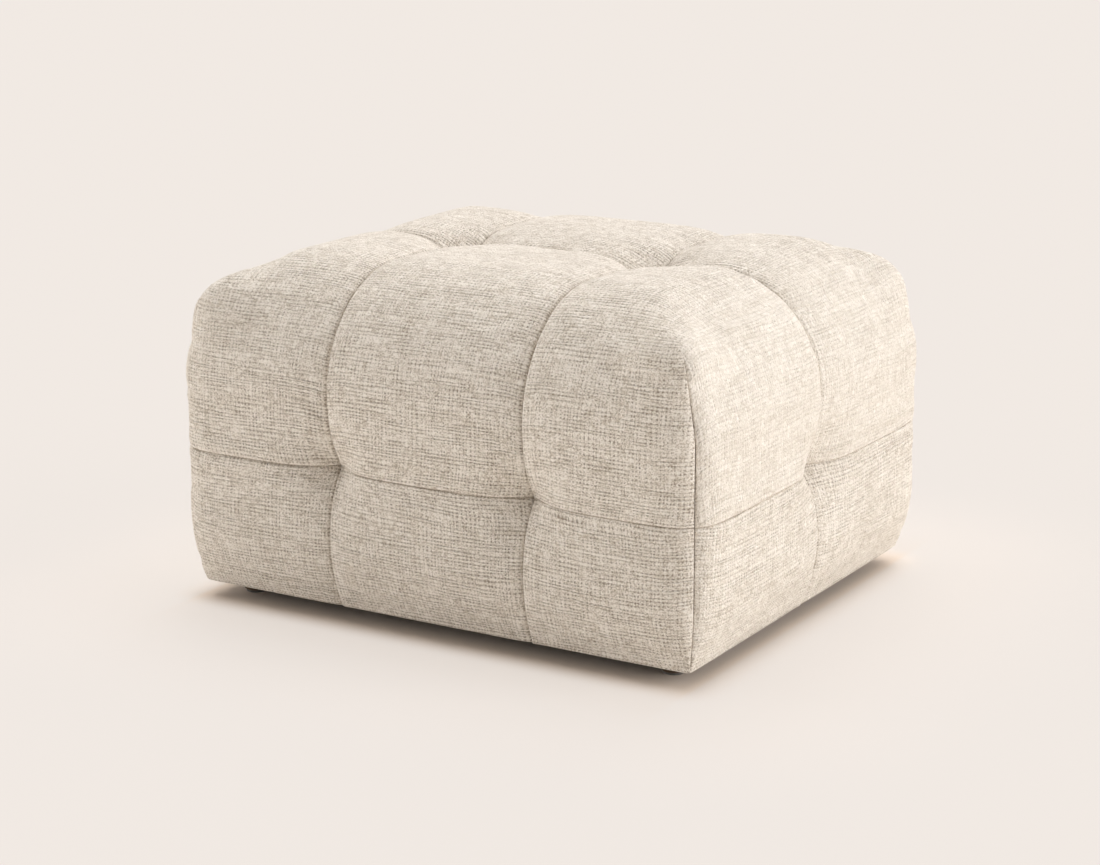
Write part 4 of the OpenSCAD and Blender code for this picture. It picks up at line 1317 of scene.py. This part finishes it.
class POUF_OT_cloths(PoufOperator, bpy.types.Operator):
    """Stretch the platform cloth over the webbing and the dust cover under the frame"""

    bl_idname = "pouf.cloths"
    bl_label = "Cloths"

    def execute(self, context):
        lo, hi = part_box("dust_cover")
        bolts = [(sx * BOLT_X, sy * BOLT_Y, BOLT_HOLE) for sx in (-1, 1) for sy in (-1, 1)]
        mesh = cloth_mesh(
            "dust_cloth", hi.x, hi.y, lo.z, thick=0.0005, step=0.005, ripple=0.0003, holes=bolts, seed=7)
        piece = add_piece("cloth_under", mesh, "dust_cloth", "dust_cloth", "dust_cover")
        lo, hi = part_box("platform_cloth")
        twines = [(sx * context.scene.pouf_shape.seam_x, 0, TWINE_HOLE) for sx in (-1, 1)]
        mesh = cloth_mesh(
            "seat_cloth", hi.x, hi.y, lo.z, thick=0.0006, step=0.006, ripple=0.0002, holes=twines, seed=8)
        piece = add_piece("cloth_platform", mesh, "platform_cloth", "platform_cloth", "platform_cloth")
        return {"FINISHED"}


# The webbing's straps: width, thickness, half the length that lies flat at a crossing, places along one, and
# its section as shares of the thickness at places across
STRAP_W = 0.060
STRAP_T = 0.002
STRAP_FLAT = 0.033
STRAP_PLACES = 180
STRAP_HALF = STRAP_W / 2
STRAP_EDGE = STRAP_HALF - 0.001
STRAP_SECTION = (
    (-STRAP_HALF, 0.5), (-STRAP_EDGE, 0.94), (STRAP_EDGE, 0.94),
    (STRAP_HALF, 0.5), (STRAP_EDGE, 0.06), (-STRAP_EDGE, 0.06),
)


def strap_mesh(name, straps):
    """Woven straps with rounded edges. Each is its points along the middle and the direction across it."""
    points, faces, uvs = [], [], []
    for path, across in straps:
        run = np.concatenate([[0], np.cumsum(np.linalg.norm(np.diff(path, axis=0), axis=1))])
        first, m = len(points), len(STRAP_SECTION)
        for p, r in zip(path, run):
            for a, t in STRAP_SECTION:
                points.append(p + across * a + np.array([0, 0, STRAP_T * t]))
                uvs.append((r, a))
        for k in range(len(path) - 1):
            for c in range(m):
                a, b = first + k * m + c, first + k * m + (c + 1) % m
                faces.append((a, b, b + m, a + m))
        faces.append([first + c for c in range(m)][::-1])
        faces.append([first + (len(path) - 1) * m + c for c in range(m)])
    mesh = plain_mesh(name, [tuple(p) for p in points], faces)
    layer = mesh.uv_layers.new(name="UVMap")
    for loop in mesh.loops:
        layer.data[loop.index].uv = uvs[loop.vertex_index]
    with edited(mesh) as bm:
        bmesh.ops.recalc_face_normals(bm, faces=bm.faces)
    return mesh


def strap_run(stops, first, end, low):
    """Heights along a strap that rises over every second strap that it crosses, eased between them."""
    places, heights = [-end], [0.0]
    for k, stop in enumerate(stops):
        h = STRAP_T if (first + k) % 2 == 0 else 0.0
        places += [stop - STRAP_FLAT, stop + STRAP_FLAT]
        heights += [h, h]
    places.append(end)
    heights.append(0.0)
    fine = np.linspace(-end, end, STRAP_PLACES)
    return fine, low + np.interp(fine, places, heights)


class POUF_OT_webbing(PoufOperator, bpy.types.Operator):
    """Interlace the webbing that carries the seat"""

    bl_idname = "pouf.webbing"
    bl_label = "Webbing"

    def execute(self, context):
        low, long_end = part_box("webbing_lengthwise")
        cross_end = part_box("webbing_crosswise")[1]
        seam_x = context.scene.pouf_shape.seam_x
        last, outer = cross_end.x - STRAP_HALF, long_end.y - STRAP_HALF
        cross, along = [-last, -seam_x, 0, seam_x, last], [-outer, 0, outer]
        straps = {"lengthwise": [], "crosswise": []}
        for k, y in enumerate(along):
            s, z = strap_run(cross, k + 1, long_end.x, low.z)
            straps["lengthwise"].append((np.stack([s, np.full_like(s, y), z], -1), np.array([0, 1, 0])))
        for k, x in enumerate(cross):
            s, z = strap_run(along, k, cross_end.y, low.z)
            straps["crosswise"].append((np.stack([np.full_like(s, x), s, z], -1), np.array([1, 0, 0])))
        for way, paths in straps.items():
            name = "straps_" + way
            add_piece(name, strap_mesh(name, paths), "webbing", "webbing", "webbing_" + way)
        return {"FINISHED"}


class POUF_OT_timber(PoufOperator, bpy.types.Operator):
    """Give the posts, rails, dowels and boards their wood"""

    bl_idname = "pouf.timber"
    bl_label = "Timber"

    def execute(self, context):
        dress([n for n in NODES if n.startswith("corner_post")], "softwood_z")
        dress([n for n in NODES if "rail" in n and n.endswith(("front", "back"))], "softwood_x")
        dress([n for n in NODES if "rail" in n and n.endswith(("left", "right"))], "softwood_y")
        dress(["bottom_cross_rail"], "softwood_y")
        dress(["frame_dowels"], "beech_dowel")
        dress([n for n in NODES if n.startswith("side_board")], "plywood")
        return {"FINISHED"}


class POUF_OT_hardware(PoufOperator, bpy.types.Operator):
    """Finish the screws, staples, bolts, washers and twines"""

    bl_idname = "pouf.hardware"
    bl_label = "Hardware"

    def execute(self, context):
        steel = ["board_screws", "webbing_staples", "dust_cover_staples", "foot_bolts", "foot_inserts"]
        dress(steel, "zinc_steel")
        dress(["tuft_twines_side", "tuft_twines_top"], "tuft_twine")
        dress(["tuft_washers"], "tuft_washer")
        return {"FINISHED"}


class POUF_OT_feet(PoufOperator, bpy.types.Operator):
    """Stain the feet and give them felt glides"""

    bl_idname = "pouf.feet"
    bl_label = "Feet"

    def execute(self, context):
        dress([n for n in NODES if n.startswith(("foot_front", "foot_back"))], "dark_wood")
        dress(["foot_glides"], "felt")
        return {"FINISHED"}


# The camera as fitted to the photograph: angles in radians, lengths in units of CAMERA_UNIT metres from the
# cover's lower edge, and the focal length in pixels of the photograph, which is IMAGE_W wide
CAMERA = {
    "azimuth": 0.543368, "elevation": 0.254575, "roll": -0.003404, "distance": 9.71172,
    "aside": -0.0294382, "up": 0.489014, "focal": 2590.114,
}
CAMERA_UNIT = 0.35
IMAGE_W = 1100
SENSOR = 36
# Half the width of the floor
FLOOR_HALF = 20


def add_camera(scene, base_z):
    az, el, roll = CAMERA["azimuth"], CAMERA["elevation"], CAMERA["roll"]
    back = Vector((math.sin(az) * math.cos(el), -math.cos(az) * math.cos(el), math.sin(el)))
    right = Vector((math.cos(az), math.sin(az), 0))
    up = back.cross(right)
    r = right * math.cos(roll) + up * math.sin(roll)
    u = -right * math.sin(roll) + up * math.cos(roll)
    data = bpy.data.cameras.new("photo_view")
    data.sensor_width = SENSOR
    data.sensor_fit = "HORIZONTAL"
    data.lens = CAMERA["focal"] / IMAGE_W * SENSOR
    data.clip_end = 200
    camera = place_object("photo_view", data)
    place_at = (r * CAMERA["aside"] + u * CAMERA["up"] + back * CAMERA["distance"]) * CAMERA_UNIT
    turned = Matrix((r, u, back)).transposed().to_4x4()
    camera.matrix_world = Matrix.Translation(place_at + Vector((0, 0, base_z))) @ turned
    scene.camera = camera


def add_sun(name, towards, strength, spread_angle, colour):
    data = bpy.data.lights.new(name, "SUN")
    data.energy = strength
    data.angle = math.radians(spread_angle)
    data.color = colour
    light = place_object(name, data)
    light.rotation_euler = Vector(towards).to_track_quat("Z", "Y").to_euler()


def light_world(scene, settings):
    world = bpy.data.worlds.new("studio")
    scene.world = world
    world.use_nodes = True
    t = Tree(world.node_tree)
    path = t.node("LightPath").outputs
    seen = t.math("MAXIMUM", path["Is Camera Ray"], path["Is Glossy Ray"])
    seen = t.math("MAXIMUM", seen, path["Is Transmission Ray"])
    colour = t.mix(seen, (1.0, 0.88, 0.76, 1), opaque(settings.floor))
    strength = t.blend(seen, settings.sky, 1.0)
    back = t.node("Background", {"Color": colour, "Strength": strength})
    t.put(t.node("OutputWorld").inputs["Surface"], back.outputs[0])


class POUF_OT_stage(PoufOperator, bpy.types.Operator):
    """Set the floor, the studio light and the camera"""

    bl_idname = "pouf.stage"
    bl_label = "Stage"

    def execute(self, context):
        scene, settings = context.scene, context.scene.pouf_stage
        corners = [(x * FLOOR_HALF, y * FLOOR_HALF, 0) for x, y in ((-1, -1), (1, -1), (1, 1), (-1, 1))]
        floor = place_object("studio_floor", plain_mesh("studio_floor", corners, [(0, 1, 2, 3)]))
        shape = Upholstery(scene.pouf_shape)
        floor.data.materials.append(floor_material(settings.floor, *shape.base))
        add_sun("key_light", (0.885, 0.275, 0.30), settings.key, 45, (1.0, 0.997, 1.0))
        add_sun("fill_light", (-0.93, -0.22, 0.28), settings.fill, 35, (1.0, 1.0, 1.0))
        add_sun("front_light", (-0.60, -0.76, 0.14), settings.front, 50, (1.0, 0.985, 0.97))
        add_sun("overhead_light", (-0.12, 0.30, 0.95), settings.over, 75, (1.0, 0.975, 0.95))
        add_sun("back_light", (-0.35, 0.85, 0.40), settings.back, 50, (1.0, 0.99, 0.98))
        light_world(scene, settings)
        add_camera(scene, shape.cover_z)
        scene.view_settings.view_transform = "Standard"
        return {"FINISHED"}


class POUF_PT_panel(bpy.types.Panel):
    """The pouf's sizes and steps in the sidebar"""

    bl_idname = "POUF_PT_panel"
    bl_label = "Pouf"
    bl_space_type = "VIEW_3D"
    bl_region_type = "UI"
    bl_category = "Pouf"

    def draw(self, context):
        for name in SETTINGS:
            box = self.layout.box()
            group = getattr(context.scene, name)
            for key in group.bl_rna.properties.keys():
                if key not in ("rna_type", "name"):
                    box.prop(group, key)
        for step in STEPS:
            self.layout.operator(step.bl_idname)


STEPS = (
    POUF_OT_finishes, POUF_OT_stage, POUF_OT_cover, POUF_OT_padding, POUF_OT_cloths, POUF_OT_webbing,
    POUF_OT_timber, POUF_OT_hardware, POUF_OT_feet,
)
SETTINGS = {
    "pouf_shape": PoufShape, "pouf_sewing": PoufSewing, "pouf_fabric": PoufFabric, "pouf_stage": PoufStage,
}
CLASSES = (*SETTINGS.values(), *STEPS, POUF_PT_panel)


def register():
    for each in CLASSES:
        bpy.utils.register_class(each)
    for name, group in SETTINGS.items():
        setattr(bpy.types.Scene, name, PointerProperty(type=group))


def unregister():
    for name in SETTINGS:
        delattr(bpy.types.Scene, name)
    for each in reversed(CLASSES):
        bpy.utils.unregister_class(each)


def main():
    register()
    for step in STEPS:
        group, name = step.bl_idname.split(".")
        getattr(getattr(bpy.ops, group), name)()


if __name__ == "__main__":
    main()
